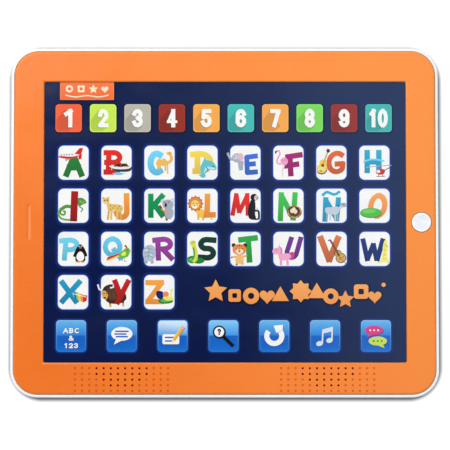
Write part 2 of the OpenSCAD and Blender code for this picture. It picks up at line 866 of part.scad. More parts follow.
module switch_wires() { wire_pair(switch_route, [1.5, -0.85, 0]); }

rear_shell();
front_bezel();
printed_overlay();
membrane_upper();
membrane_spacer();
membrane_lower();
membrane_tail();
support_plate();
support_plate_screws();
case_screws();
power_button_cap();
power_switch_plunger();
power_switch_body();
power_switch_dome();
power_switch_board();
power_switch_screws();
main_board();
main_board_screws();
sound_chip_blob();
filter_capacitors();
chip_resistors();
clock_crystal();
tail_connector();
speaker_frame(-1);  // speaker_frame_left
speaker_frame(1);  // speaker_frame_right
speaker_magnet(-1);  // speaker_magnet_left
speaker_magnet(1);  // speaker_magnet_right
speaker_cone(-1);  // speaker_cone_left
speaker_cone(1);  // speaker_cone_right
speaker_coil(-1);  // speaker_coil_left
speaker_coil(1);  // speaker_coil_right
speaker_gasket(-1);  // speaker_gasket_left
speaker_gasket(1);  // speaker_gasket_right
speaker_clips();
speaker_clip_screws();
grille_cloth(-1);  // grille_cloth_left
grille_cloth(1);  // grille_cloth_right
battery_door();
battery_door_screw();
battery_cell(1);  // battery_cell_1
battery_cell(2);  // battery_cell_2
battery_cell(3);  // battery_cell_3
battery_bridge_left();
battery_bridge_right();
battery_terminal_plus();
battery_terminal_minus();
battery_wire_red();
battery_wire_black();
speaker_wires_left();
speaker_wires_right();
switch_wires();
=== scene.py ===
import json
import math

import bpy
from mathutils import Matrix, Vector
from mathutils.geometry import delaunay_2d_cdt


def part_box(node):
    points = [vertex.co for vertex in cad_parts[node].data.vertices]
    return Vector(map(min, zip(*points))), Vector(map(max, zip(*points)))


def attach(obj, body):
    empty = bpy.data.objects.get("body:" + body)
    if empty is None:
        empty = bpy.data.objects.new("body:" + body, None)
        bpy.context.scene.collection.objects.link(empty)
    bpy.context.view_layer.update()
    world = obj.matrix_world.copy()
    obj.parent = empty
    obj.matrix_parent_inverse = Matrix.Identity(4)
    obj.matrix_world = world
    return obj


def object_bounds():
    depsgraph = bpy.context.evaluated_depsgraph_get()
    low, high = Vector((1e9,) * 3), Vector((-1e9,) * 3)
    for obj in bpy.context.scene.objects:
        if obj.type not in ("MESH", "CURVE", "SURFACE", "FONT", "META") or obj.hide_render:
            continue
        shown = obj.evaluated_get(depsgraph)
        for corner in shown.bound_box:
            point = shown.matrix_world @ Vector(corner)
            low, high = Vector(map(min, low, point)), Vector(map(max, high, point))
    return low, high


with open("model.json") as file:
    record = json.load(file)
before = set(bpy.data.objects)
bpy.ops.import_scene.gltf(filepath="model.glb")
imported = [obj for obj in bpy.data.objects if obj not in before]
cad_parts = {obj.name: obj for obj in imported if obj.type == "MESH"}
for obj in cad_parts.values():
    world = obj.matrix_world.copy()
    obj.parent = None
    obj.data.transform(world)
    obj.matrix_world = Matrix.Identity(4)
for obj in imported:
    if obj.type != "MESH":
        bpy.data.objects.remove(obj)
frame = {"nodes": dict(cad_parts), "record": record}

CAD_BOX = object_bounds()
NODES = frame["nodes"]
MM = 0.001


# ---------------- camera, floor and light

IMAGE_WIDTH_PX = 450
MM_PER_PIXEL = 0.5607
CAMERA_DISTANCE = 0.8
CAMERA_ELEVATION = 88.1
CAMERA_CLIP = (0.01, 50)
SENSOR_MM = 36.0
LOOK_AT = Vector((0.0002, -0.0015, 0.0165))

FLOOR_HALF = 3.0
FLOOR_DROP = 0.0002
FLOOR_WHITE = (0.32, 0.32, 0.32, 1)
FLOOR_GLOW = 0.9
# metres: the painted contact shadow's rounded outline, and how far past it the floor is still dark, then
# clear
CONTACT_MIDDLE = (0.0002, -0.0001)
CONTACT_HALF = (0.1200, 0.0976)
CONTACT_CORNER = 0.0155
CONTACT_DARK = 0.00245
CONTACT_CLEAR = 0.0047

SKY_STRENGTH = 0.62
SKY_SIDES = (1.0, 1.0, 1.0, 1)
SKY_BELOW = (0.75, 0.75, 0.76, 1)
SKY_DARK = (0.04, 0.06, 0.11, 1)
SKY_BRIGHT = (1.05, 1.45, 1.95, 1)
# the direction in which the part overhead gets paler, and from where to where
SKY_ACROSS = (1.0, 0.35, 0)
SKY_ACROSS_REACH = (-0.06, 0.16)
SKY_SHADE_AT = (0.005, -0.035, 1.0)
SKY_SHADE_REACH = (0.04, 0.085)
# heights on the unit sphere at which one part of the sky passes into the next
SKY_OVERHEAD = (0.72, 0.93)
SKY_HORIZON = (-0.05, 0.25)

KEY_AT = Vector((-0.62, 0.80, 1.55))
KEY_WATTS = 21.5
KEY_SIZE = 0.9


def aim(thing, direction):
    """Turns a camera or lamp to look along the direction."""
    thing.rotation_mode = "QUATERNION"
    thing.rotation_quaternion = direction.to_track_quat("-Z", "Y")


def add_object(name, data):
    thing = bpy.data.objects.new(name, data)
    bpy.context.scene.collection.objects.link(thing)
    return thing


def make_camera():
    """The photograph's view: almost straight down, with the lower edge a little nearer."""
    data = bpy.data.cameras.new("camera")
    data.sensor_width = SENSOR_MM
    seen = IMAGE_WIDTH_PX * MM_PER_PIXEL * MM
    data.lens = SENSOR_MM * CAMERA_DISTANCE / seen
    data.clip_start, data.clip_end = CAMERA_CLIP
    camera = add_object("camera", data)
    tilt = math.radians(CAMERA_ELEVATION)
    back = Vector((0, -math.cos(tilt), math.sin(tilt)))
    camera.location = LOOK_AT + back * CAMERA_DISTANCE
    aim(camera, -back)
    bpy.context.scene.camera = camera


def make_sky():
    """Soft white surroundings. Right overhead, which the flat film mirrors, they are dark to the left
    and pale to the right, with one more dark spot."""
    world = bpy.data.worlds.new("studio")
    bpy.context.scene.world = world
    g = Graph(world, "Generated")
    across = g.node("VectorMath", "Value", {0: g.place, 1: SKY_ACROSS}, operation="DOT_PRODUCT")
    overhead = g.mix(g.ramp(across, *SKY_ACROSS_REACH), SKY_DARK, SKY_BRIGHT)
    apart = g.node("VectorMath", "Value", {0: g.place, 1: SKY_SHADE_AT}, operation="DISTANCE")
    overhead = g.mix(g.ramp(apart, *SKY_SHADE_REACH), SKY_DARK, overhead)
    height = g.along("Z")
    upper = g.mix(g.ramp(height, *SKY_OVERHEAD), SKY_SIDES, overhead)
    whole = g.mix(g.ramp(height, *SKY_HORIZON), SKY_BELOW, upper)
    g.set_sockets(g.tree.nodes["Background"], {"Color": whole, "Strength": SKY_STRENGTH})


def make_key_light():
    """One large soft lamp from the upper left, for the soft shadow at the right and lower edges."""
    data = bpy.data.lights.new("soft_box", "AREA")
    data.shape = "SQUARE"
    data.size = KEY_SIZE
    data.energy = KEY_WATTS
    lamp = add_object("soft_box", data)
    lamp.location = KEY_AT
    aim(lamp, -KEY_AT)


def floor_white():
    """White that glows up to a painted contact shadow, a thin dark line round the toy's foot. From below
    it is clear, so that the back can be looked at."""
    g = surface("floor_white")
    past = []
    for axis, middle, half in zip("XY", CONTACT_MIDDLE, CONTACT_HALF):
        reach = g.maths("ABSOLUTE", g.maths("SUBTRACT", g.along(axis), middle))
        beyond = g.maths("MAXIMUM", g.maths("SUBTRACT", reach, half - CONTACT_CORNER), 0)
        past.append(g.maths("MULTIPLY", beyond, beyond))
    away = g.maths("SQRT", g.maths("ADD", *past))
    # painted shadow: the floor's glow fades out near the toy's outline
    glow = g.remap(away, 0, 1, CONTACT_CORNER + CONTACT_DARK, CONTACT_CORNER + CONTACT_CLEAR)
    material = g.finish(FLOOR_WHITE, 0.8, Emission_Color=glow,
                        Specular_IOR_Level=0.1, Emission_Strength=FLOOR_GLOW)
    side = g.node("NewGeometry", "Backfacing")
    clear = g.node("BsdfTransparent", 0)
    seen = g.node("MixShader", 0, {"Fac": side, 1: g.shader.outputs[0], 2: clear})
    g.set_sockets(g.tree.nodes["Material Output"], {"Surface": seen})
    return material


def make_floor():
    """A plain pale floor just under the toy. It lights nothing but itself."""
    mesh = bpy.data.meshes.new("floor")
    corners = [(x * FLOOR_HALF, y * FLOOR_HALF, 0) for x, y in ((-1, -1), (1, -1), (1, 1), (-1, 1))]
    mesh.from_pydata(corners, [], [(0, 1, 2, 3)])
    mesh.materials.append(floor_white())
    floor = add_object("floor", mesh)
    floor.location.z = CAD_BOX[0].z - FLOOR_DROP
    floor.visible_diffuse = False
    floor.visible_glossy = False


# ---------------- material helpers


def linear(rgb):
    """A colour picked as 0 to 255 sRGB, as the linear value that the shader takes."""
    parts = [c / 255 for c in rgb]
    return tuple(c / 12.92 if c <= 0.04045 else ((c + 0.055) / 1.055) ** 2.4 for c in parts) + (1.0,)


def shade(rgb, by):
    """The colour made lighter, above 1, or darker, below 1."""
    return tuple(min(255, max(0, c * by)) for c in rgb)


def blend_colours(a, b, share):
    return tuple(p + (q - p) * share for p, q in zip(a, b))


class Graph:
    """The node graph of a material or the world, built a node at a time from one set of coordinates."""

    def __init__(self, owner, coordinates="Object"):
        owner.use_nodes = True
        self.owner = owner
        self.tree = owner.node_tree
        self.shader = self.tree.nodes.get("Principled BSDF")
        self.place = self.node("TexCoord", coordinates)

    def node(self, kind, output, sockets=None, **settings):
        """A new node's output. Settings such as its operation are made before its sockets."""
        node = self.tree.nodes.new("ShaderNode" + kind)
        for name, value in settings.items():
            setattr(node, name, value)
        self.set_sockets(node, sockets or {})
        return node.outputs[output]

    def set_sockets(self, node, sockets):
        """Links a socket to another node's output, or sets it to a plain value. None leaves it alone."""
        for name, value in sockets.items():
            if isinstance(value, bpy.types.NodeSocket):
                self.tree.links.new(value, node.inputs[name])
            elif value is not None:
                node.inputs[name].default_value = value

    def stretched(self, scale, turn=(0, 0, 0)):
        """The object's own coordinates, scaled along each axis."""
        return self.node("Mapping", "Vector", {"Scale": scale, "Rotation": turn, "Vector": self.place})

    def noise(self, scale, detail=3.0, roughness=0.55, place=None):
        sockets = {"Scale": scale, "Detail": detail, "Roughness": roughness, "Vector": place or self.place}
        return self.node("TexNoise", "Fac", sockets)

    def cells(self, scale):
        return self.node("TexVoronoi", "Distance", {"Scale": scale, "Vector": self.place})

    def waves(self, scale, axis="X", distortion=0.0):
        sockets = {"Scale": scale, "Distortion": distortion, "Vector": self.place}
        return self.node("TexWave", "Fac", sockets, bands_direction=axis)

    def along(self, axis):
        return self.node("SeparateXYZ", axis, {0: self.place})

    def remap(self, value, to_low, to_high, low=0.3, high=0.7, kind="LINEAR"):
        sockets = {"Value": value, "From Min": low, "From Max": high, "To Min": to_low, "To Max": to_high}
        return self.node("MapRange", "Result", sockets, interpolation_type=kind)

    def ramp(self, value, low, high):
        """0 up to low and 1 from high on, with a soft passage."""
        return self.remap(value, 0, 1, low, high, "SMOOTHSTEP")

    def maths(self, operation, a, b=0):
        return self.node("Math", 0, {0: a, 1: b}, operation=operation)

    def mix(self, share, a, b, kind="MIX"):
        """Two colours mixed. A tuple of three is a colour from 0 to 255."""
        a, b = (linear(c) if isinstance(c, tuple) and len(c) == 3 else c for c in (a, b))
        sockets = {"Factor": share, "A": a, "B": b}
        return self.node("Mix", "Result", sockets, data_type="RGBA", blend_type=kind)

    def bump(self, height, distance, strength, under=None):
        sockets = {"Distance": distance, "Strength": strength, "Height": height, "Normal": under}
        return self.node("Bump", "Normal", sockets)

    def finish(self, colour=None, roughness=None, normal=None, **sockets):
        """The material, with its shader's sockets linked or set. A socket's name has _ for each space."""
        sockets = {"Base Color": colour, "Roughness": roughness, "Normal": normal, **sockets}
        self.set_sockets(self.shader, {name.replace("_", " "): value for name, value in sockets.items()})
        return self.owner


def surface(name):
    return Graph(bpy.data.materials.new(name))


# ---------------- materials

# metres: the grille's y from and to, and its farthest x
GRILLE_ZONE = (-0.0952, -0.0806, 0.09)
# the bezel's own orange, and the lighter orange painted on toward the right and the top as painted light
ORANGE_LEFT = (244, 118, 34)
ORANGE_PAINTED_LIT = (253, 145, 58)
# metres below the bezel's top where a painted tint has its full share and where it ends, the share, and the
# colour: a painted highlight on the rounded edges and lips, and painted shade in the grille's dimples and
# holes
EDGE_PAINTED_HIGHLIGHT = (0.0011, 0.00012, 0.8, (255, 172, 100))
DIMPLE_PAINTED_SHADE = (0.00044, 0.00005, 0.55, (206, 84, 12))
HOLE_PAINTED_SHADE = (0.0009, 0.0005, 0.97, (128, 8, 2))


def moulded_graph(name, rgb, rough, grain, grain_depth, vary, scuffs=0.35):
    """Moulded plastic: slow flow marks in the colour, a fine grain, and a few scuffs that dull the gloss."""
    g = surface(name)
    flow = g.remap(g.noise(14, 4), 0, 1, 0.35, 0.65)
    colour = g.mix(flow, shade(rgb, 1 - vary), shade(rgb, 1 + vary))
    speck = g.remap(g.noise(2600, 2), 0, vary * 0.8, 0.45, 0.7)
    g.colour = g.mix(speck, colour, shade(rgb, 0.72))
    scratch = g.remap(g.noise(70, 6, 0.7, g.stretched((1, 14, 6), (0, 0, 0.7))), 0, scuffs, 0.56, 0.72)
    rough_now = g.maths("ADD", g.remap(g.noise(45, 5), *rough), g.maths("MULTIPLY", scratch, 0.35))
    normal = g.bump(g.noise(grain, 3), grain_depth, 0.5)
    normal = g.bump(g.noise(28, 2), 0.0004, 0.08, normal)
    g.finish(g.colour, rough_now, normal)
    return g


def moulded(*args):
    return moulded_graph(*args).owner


def grille_rows(g):
    """1 over the strip of the grille's rows, and 0 elsewhere."""
    low, high, _ = GRILLE_ZONE
    y = g.along("Y")
    return g.maths("MULTIPLY", g.maths("GREATER_THAN", y, low), g.maths("LESS_THAN", y, high))


def orange_plastic():
    """The bezel's orange with painted light: warmer and lighter to the right and the top, and a painted
    highlight on the rounded edges. Down in the grille's holes and dimples, painted shade turns it a deep red,
    as the light that comes through it does."""
    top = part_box("front_bezel")[1].z
    g = moulded_graph("bezel_orange_gloss", ORANGE_LEFT, (0.22, 0.32), 800, 0.00002, 0.018, 0.12)
    # painted light: the orange is lighter to the right and the top
    sideways = g.remap(g.along("X"), 0, 0.85, -0.11, 0.11)
    upward = g.remap(g.along("Y"), -0.12, 0.28, -0.09, 0.09)
    colour = g.mix(g.maths("ADD", sideways, upward), g.colour, ORANGE_PAINTED_LIT)
    x = g.maths("ABSOLUTE", g.along("X"))
    z = g.along("Z")
    grille = g.maths("MULTIPLY", grille_rows(g), g.maths("LESS_THAN", x, GRILLE_ZONE[2]))
    outside = g.maths("SUBTRACT", 1, grille)
    # painted highlight on the edges outside the grille, painted shade down in the grille's dimples and holes
    for zone, (full, end, share, rgb) in ((outside, EDGE_PAINTED_HIGHLIGHT), (grille, DIMPLE_PAINTED_SHADE), (grille, HOLE_PAINTED_SHADE)):
        depth = g.remap(z, share, 0, top - full, top - end)
        colour = g.mix(g.maths("MULTIPLY", zone, depth), colour, rgb)
    return g.finish(colour, Specular_IOR_Level=0.34)


def support_plastic():
    """The grey plate behind the keypad. Under the grille, where it shows in the end holes, it takes
    a painted deep red shade."""
    g = moulded_graph("support_plate_grey", (164, 166, 168), (0.5, 0.7), 500, 0.00004, 0.06)
    # painted shade: deep red under the grille's rows
    return g.finish(g.mix(grille_rows(g), g.colour, (110, 12, 4)), Specular_IOR_Level=0.2)


def film_gloss(g):
    """The keypad film's shine: gentle waves from the glue under it, with fine hairlines and finger smears."""
    waves = g.noise(11, 2, 0.45, g.stretched((1, 1.3, 1)))
    ripple = g.noise(46, 2, 0.4)
    normal = g.bump(waves, 0.0045, 0.16)
    normal = g.bump(ripple, 0.0006, 0.12, normal)
    smear = g.remap(g.noise(24, 4, 0.6, g.stretched((1, 2.2, 1), (0, 0, 0.5))), 0.10, 0.19)
    hairline = g.remap(g.noise(160, 5, 0.7, g.stretched((1, 18, 1), (0, 0, 1.1))), 0, 0.06, 0.58, 0.7)
    return g.maths("ADD", smear, hairline), normal


def keypad_film():
    """Navy printed film: painted sheen that makes it lighter to the right and the top, a slow cloudy change
    of tone, and the film's shine.
    """
    g = surface("keypad_film_navy")
    # painted sheen: lighter to the right and the top
    across = g.remap(g.along("X"), 0, 0.75, 0.0, 0.12, "SMOOTHSTEP")
    upward = g.remap(g.along("Y"), 0, 0.25, -0.08, 0.08, "SMOOTHSTEP")
    painted_sheen_and_tone = g.maths("ADD", across, upward)
    cloud = g.remap(g.noise(9, 3, 0.5, g.stretched((1, 1.7, 1))), -0.22, 0.22)
    painted_sheen_and_tone = g.maths("ADD", painted_sheen_and_tone, cloud)
    colour = g.mix(painted_sheen_and_tone, (9, 22, 66), (20, 36, 80))
    dots = g.remap(g.noise(3200, 1), 0, 0.10, 0.45, 0.7)
    colour = g.mix(dots, colour, (8, 16, 50))
    rough, normal = film_gloss(g)
    return g.finish(colour, rough, normal, IOR=1.5)


def printed_ink():
    """The coloured inks under the same shine. Each face's ink is stored on the mesh, and the print is
    a little uneven."""
    g = surface("keypad_inks")
    ink = g.node("VertexColor", "Color", layer_name="ink")
    patchy = g.remap(g.noise(60, 4), 0.0, 0.10)
    colour = g.mix(patchy, ink, (0.25, 0.28, 0.34, 1), "MULTIPLY")
    dots = g.remap(g.cells(1500), 0, 0.10, 0.2, 0.7)
    colour = g.mix(dots, colour, (0.5, 0.52, 0.56, 1), "MULTIPLY")
    rough, normal = film_gloss(g)
    return g.finish(colour, rough, normal, IOR=1.5)


def metal(name, rgb, rough, brushed=(1, 1, 1), stain=0.25):
    """Plated steel: brushed lines, with duller and darker patches."""
    g = surface(name)
    patch = g.remap(g.noise(160, 4), 0, stain)
    colour = g.mix(patch, rgb, shade(rgb, 0.62))
    lines = g.noise(1200, 3, 0.6, g.stretched(brushed))
    rough_now = g.maths("ADD", g.remap(lines, *rough), g.maths("MULTIPLY", patch, 0.25))
    return g.finish(colour, rough_now, g.bump(lines, 0.00002, 0.5), Metallic=1.0)


# shares of the button's radius between which the pearl passes into its painted highlight, a whiter ring on
# the rounded rim
PEARL_PAINTED_HIGHLIGHT = (0.72, 0.86)


def pearl_button():
    """The power button: pearl with a faint swirl inside a whiter ring, a painted highlight on its rim, and a
    soft shine.
    """
    low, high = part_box("power_button_cap")
    reach = (high.x - low.x) / 2
    g = surface("button_pearl_white")
    across = g.maths("SUBTRACT", g.along("X"), (low.x + high.x) / 2)
    upward = g.maths("SUBTRACT", g.along("Y"), (low.y + high.y) / 2)
    squares = [g.maths("MULTIPLY", offset, offset) for offset in (across, upward)]
    ring = g.ramp(g.maths("SQRT", g.maths("ADD", *squares)), reach * PEARL_PAINTED_HIGHLIGHT[0], reach * PEARL_PAINTED_HIGHLIGHT[1])
    swirl = g.remap(g.noise(260, 4, 0.6, g.stretched((1, 2.4, 1), (0, 0, 0.6))), 0, 1, 0.35, 0.65)
    colour = g.mix(swirl, (234, 232, 232), (253, 250, 248))
    # painted highlight: a whiter ring toward the rim
    colour = g.mix(ring, colour, (255, 253, 250))
    rough = g.remap(g.noise(180, 4), 0.2, 0.34)
    normal = g.bump(g.noise(900, 3), 0.00002, 0.4)
    return g.finish(colour, rough, normal, Coat_Weight=0.3, Coat_Roughness=0.1)


def membrane(name, rgb, track, spacing):
    """Clear-white film with rows of printed tracks."""
    g = surface(name)
    rows = g.remap(g.waves(spacing, "Y", 1.5), 0, 1, 0.82, 0.9)
    columns = g.remap(g.waves(spacing * 0.8, "X", 1.0), 0, 1, 0.86, 0.93)
    lines = g.maths("MAXIMUM", rows, columns)
    base = g.mix(g.noise(40, 4), rgb, shade(rgb, 0.9))
    colour = g.mix(lines, base, track)
    rough = g.remap(g.noise(90, 4), 0.38, 0.6)
    return g.finish(colour, rough, g.bump(lines, 0.00003, 0.5))


def circuit_board():
    """Green solder mask over copper tracks, which stand a little proud."""
    g = surface("board_green")
    up = g.remap(g.waves(105, "Y", 6.0), 0, 1, 0.6, 0.68)
    side = g.remap(g.waves(92, "X", 7.0), 0, 1, 0.66, 0.73)
    tracks = g.maths("MAXIMUM", up, side)
    mask = g.mix(g.noise(120, 4), (14, 74, 40), (20, 88, 48))
    colour = g.mix(tracks, mask, (38, 122, 66))
    rough = g.remap(g.noise(200, 4), 0.22, 0.4)
    normal = g.bump(tracks, 0.00006, 0.6)
    return g.finish(colour, rough, g.bump(g.noise(1500, 2), 0.00001, 0.4, normal))


def epoxy_drop():
    g = surface("epoxy_black")
    colour = g.mix(g.noise(300, 4), (16, 16, 17), (34, 33, 34))
    rough = g.remap(g.noise(220, 4), 0.22, 0.5)
    return g.finish(colour, rough, g.bump(g.noise(420, 3), 0.00012, 0.5))


BAND_EDGE = 0.0001
CELL_BAND = 0.27


def sleeve(name, rgb, band, band_low, band_high):
    """A shrink sleeve with a plain printed band from one x to another, and faint creases."""
    g = surface(name)
    place = g.along("X")
    above = g.remap(place, 0, 1, band_low - BAND_EDGE, band_low + BAND_EDGE)
    below = g.remap(place, 1, 0, band_high - BAND_EDGE, band_high + BAND_EDGE)
    inside = g.maths("MULTIPLY", above, below)
    base = g.mix(g.noise(150, 4), rgb, shade(rgb, 1.25))
    colour = g.mix(inside, base, band)
    rough = g.remap(g.noise(140, 4), 0.2, 0.38)
    crease = g.noise(500, 4, 0.7, g.stretched((0.3, 3, 3)))
    return g.finish(colour, rough, g.bump(crease, 0.00008, 0.4))


def foam():
    """Russet foam ring. It shows in the outermost grille holes, so it is as dull and warm as the cloth."""
    g = surface("gasket_foam_russet")
    pores = g.cells(2400)
    colour = g.mix(g.remap(pores, 0, 1, 0.1, 0.6), (72, 12, 6), (112, 26, 12))
    rough = g.remap(g.noise(300, 3), 0.75, 0.95)
    return g.finish(colour, rough, g.bump(pores, 0.0002, 0.8), Specular_IOR_Level=0.0)


def gauze():
    """Woven cloth behind the grille, with a painted deep red glow, an emission that stands in for the light
    that comes through the orange round it.
    """
    g = surface("dust_cloth_brown")
    weave = g.maths("MULTIPLY", g.waves(700, "X"), g.waves(700, "Y"))
    colour = g.mix(weave, (84, 4, 1), (150, 10, 2))
    rough = g.remap(g.noise(400, 3), 0.8, 0.95)
    # painted glow: the cloth emits a deep red light, though it is no lamp
    return g.finish(colour, rough, g.bump(weave, 0.0001, 0.7), Specular_IOR_Level=0.0,
                    Emission_Color=linear((168, 14, 4)), Emission_Strength=0.4)


def cone_paper():
    g = surface("cone_paper_black")
    fibre = g.noise(1400, 5, 0.7)
    colour = g.mix(fibre, (18, 18, 20), (44, 43, 45))
    return g.finish(colour, g.remap(g.noise(500, 3), 0.6, 0.85), g.bump(fibre, 0.00008, 0.6))


def copper_winding():
    g = surface("coil_copper_wire")
    turns = g.waves(1300, "Z")
    colour = g.mix(turns, (120, 52, 22), (206, 118, 66))
    rough = g.remap(g.noise(400, 3), 0.25, 0.42)
    return g.finish(colour, rough, g.bump(turns, 0.00008, 0.8), Metallic=1.0)


def insulation(name, rgb):
    g = surface(name)
    colour = g.mix(g.noise(240, 4), rgb, shade(rgb, 0.75))
    strands = g.noise(600, 3, 0.5, g.stretched((0.4, 1, 1)))
    return g.finish(colour, g.remap(g.noise(260, 4), 0.35, 0.55), g.bump(strands, 0.00005, 0.5))


def cad_materials():
    """One finished material for each material slot in the record."""
    cell_low, cell_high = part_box("battery_cell_1")
    cap_low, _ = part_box("filter_capacitors")
    band = (cell_high.x - cell_low.x) * CELL_BAND
    return {
        "shell_white": moulded("shell_white_gloss", (251, 250, 247), (0.22, 0.34), 700, 0.00002, 0.012, 0.2),
        "bezel_orange": orange_plastic(),
        "keypad_print": keypad_film(),
        "membrane_film": membrane("membrane_clear", (222, 226, 230), (150, 154, 160), 26),
        "membrane_silver": membrane("membrane_tail_tracks", (205, 208, 212), (120, 122, 128), 150),
        "support_grey": support_plastic(),
        "screw_steel": metal("screw_zinc", (196, 199, 205), (0.2, 0.38)),
        "button_pearl": pearl_button(),
        "black_plastic": moulded("switch_black", (30, 30, 33), (0.45, 0.62), 900, 0.00003, 0.15),
        "circuit_green": circuit_board(),
        "black_epoxy": epoxy_drop(),
        "capacitor_sleeve": sleeve("capacitor_blue_sleeve", (24, 28, 78), (190, 194, 205),
                                   cap_low.x + 0.0006, cap_low.x + 0.0018),
        "connector_ivory": moulded("connector_ivory_nylon", (224, 216, 190), (0.4, 0.6), 800, 0.00002, 0.04),
        "speaker_steel": metal("speaker_basket_steel", (176, 179, 184), (0.28, 0.5), (1, 1, 6)),
        "magnet_grey": metal("magnet_yoke_zinc", (120, 122, 128), (0.4, 0.62), (1, 1, 1), 0.5),
        "cone_paper": cone_paper(),
        "coil_copper": copper_winding(),
        "gasket_foam": foam(),
        "dust_cloth": gauze(),
        "cell_sleeve": sleeve("cell_green_sleeve", (22, 96, 60), (196, 166, 74),
                              cell_low.x + band * 0.2, cell_low.x + band),
        "contact_nickel": metal("contact_nickel_plate", (214, 210, 198), (0.16, 0.34), (1, 4, 1)),
        "wire_red": insulation("wire_red_pvc", (176, 26, 20)),
        "wire_black": insulation("wire_black_pvc", (26, 26, 29)),
    }


def dress_cad_nodes():
    finishes = cad_materials()
    for part in frame["record"]["subparts"]:
        for place in NODES[part["node"]].material_slots:
            place.material = finishes[part["material_slot"]]


# ---------------- flat shapes, in millimetres

CURVE_STEPS = 5
SHARP_TURN = math.radians(38)


def arc(cx, cy, rx, ry, start, end, steps=12):
    turns = [math.radians(start + (end - start) * i / steps) for i in range(steps + 1)]
    return [(cx + rx * math.cos(t), cy + ry * math.sin(t)) for t in turns]


def oval(cx, cy, rx, ry=None, tilt=0.0, steps=20):
    ry = rx if ry is None else ry
    c, s = math.cos(math.radians(tilt)), math.sin(math.radians(tilt))
    ring = arc(0, 0, rx, ry, 0, 360, steps)[:-1]
    return [[(cx + x * c - y * s, cy + x * s + y * c) for x, y in ring]]


def tile(cx, cy, width, height, radius):
    """A rectangle with rounded corners."""
    ring = []
    across, up = width / 2 - radius, height / 2 - radius
    for sx, sy, start in ((1, 1, 0), (-1, 1, 90), (-1, -1, 180), (1, -1, 270)):
        ring += arc(cx + sx * across, cy + sy * up, radius, radius, start, start + 90, 6)
    return [ring]


def patch(*points):
    return [list(points)]


def curved(points):
    """The way from the second to the third of four points, on a smooth curve through all of them."""
    p0, p1, p2, p3 = (Vector(p) for p in points)
    way = []
    for j in range(CURVE_STEPS):
        t = j / CURVE_STEPS
        point = 0.5 * (2 * p1 + (p2 - p0) * t + (2 * p0 - 5 * p1 + 4 * p2 - p3) * t * t
                       + (3 * p1 - p0 - 3 * p2 + p3) * t * t * t)
        way.append((point.x, point.y))
    return way


def blob(*points):
    """A smooth closed outline through the points."""
    turns = [[points[(i + k - 1) % len(points)] for k in range(4)] for i in range(len(points))]
    return [[point for four in turns for point in curved(four)]]


def smooth_run(points):
    """A smooth open curve through the points."""
    padded = [points[0], *points, points[-1]]
    starts = range(len(points) - 1)
    return [point for i in starts for point in curved(padded[i:i + 4])] + [tuple(points[-1])]


def ribbon(points, width):
    """A thick line with straight-cut ends: one outline for each smooth stretch, and a disc at each
    sharp corner."""
    steps = [Vector(b) - Vector(a) for a, b in zip(points, points[1:])]
    outlines, start = [], 0
    for i in range(1, len(points)):
        last = i == len(points) - 1
        if not last and steps[i - 1].angle(steps[i], 0.0) < SHARP_TURN:
            continue
        stretch = points[start:i + 1]
        left, right = [], []
        for k, point in enumerate(stretch):
            before = steps[start + max(k - 1, 0)].normalized()
            after = steps[start + min(k, len(stretch) - 2)].normalized()
            along = (before + after).normalized()
            side = Vector((-along.y, along.x)) * width / 2
            left.append((point[0] + side.x, point[1] + side.y))
            right.append((point[0] - side.x, point[1] - side.y))
        outlines.append(left + right[::-1])
        if not last:
            outlines += oval(*points[i], width / 2, steps=14)
        start = i
    return outlines


def line(width, *points):
    return ribbon(smooth_run(list(points)), width)


def rods(width, *points):
    return ribbon(list(points), width)


def dots(radius, *centres):
    return [ring for x, y in centres for ring in oval(x, y, radius, steps=8)]


def star(cx, cy, outer, inner, points=5):
    ring = []
    for i in range(points * 2):
        reach = outer if i % 2 == 0 else inner
        t = math.radians(90.0 + 180 * i / points)
        ring.append((cx + reach * math.cos(t), cy + reach * math.sin(t)))
    return [ring]


def heart(cx, cy, size):
    ring = []
    for i in range(28):
        t = math.tau * i / 28
        y = 13 * math.cos(t) - 5 * math.cos(2 * t) - 2 * math.cos(3 * t) - math.cos(4 * t)
        ring.append((cx + size * math.sin(t) ** 3, cy + size * y / 16))
    return [ring]


def speech(cx, cy, rx, ry, side):
    """A speech bubble, with its tail at the lower left or right."""
    tail = ((-0.2, -0.8), (0.75, -1.55), (0.5, -0.6))
    return oval(cx, cy, rx, ry) + patch(*[(cx + side * rx * x, cy + ry * y) for x, y in tail])


# ---------------- letters and numbers

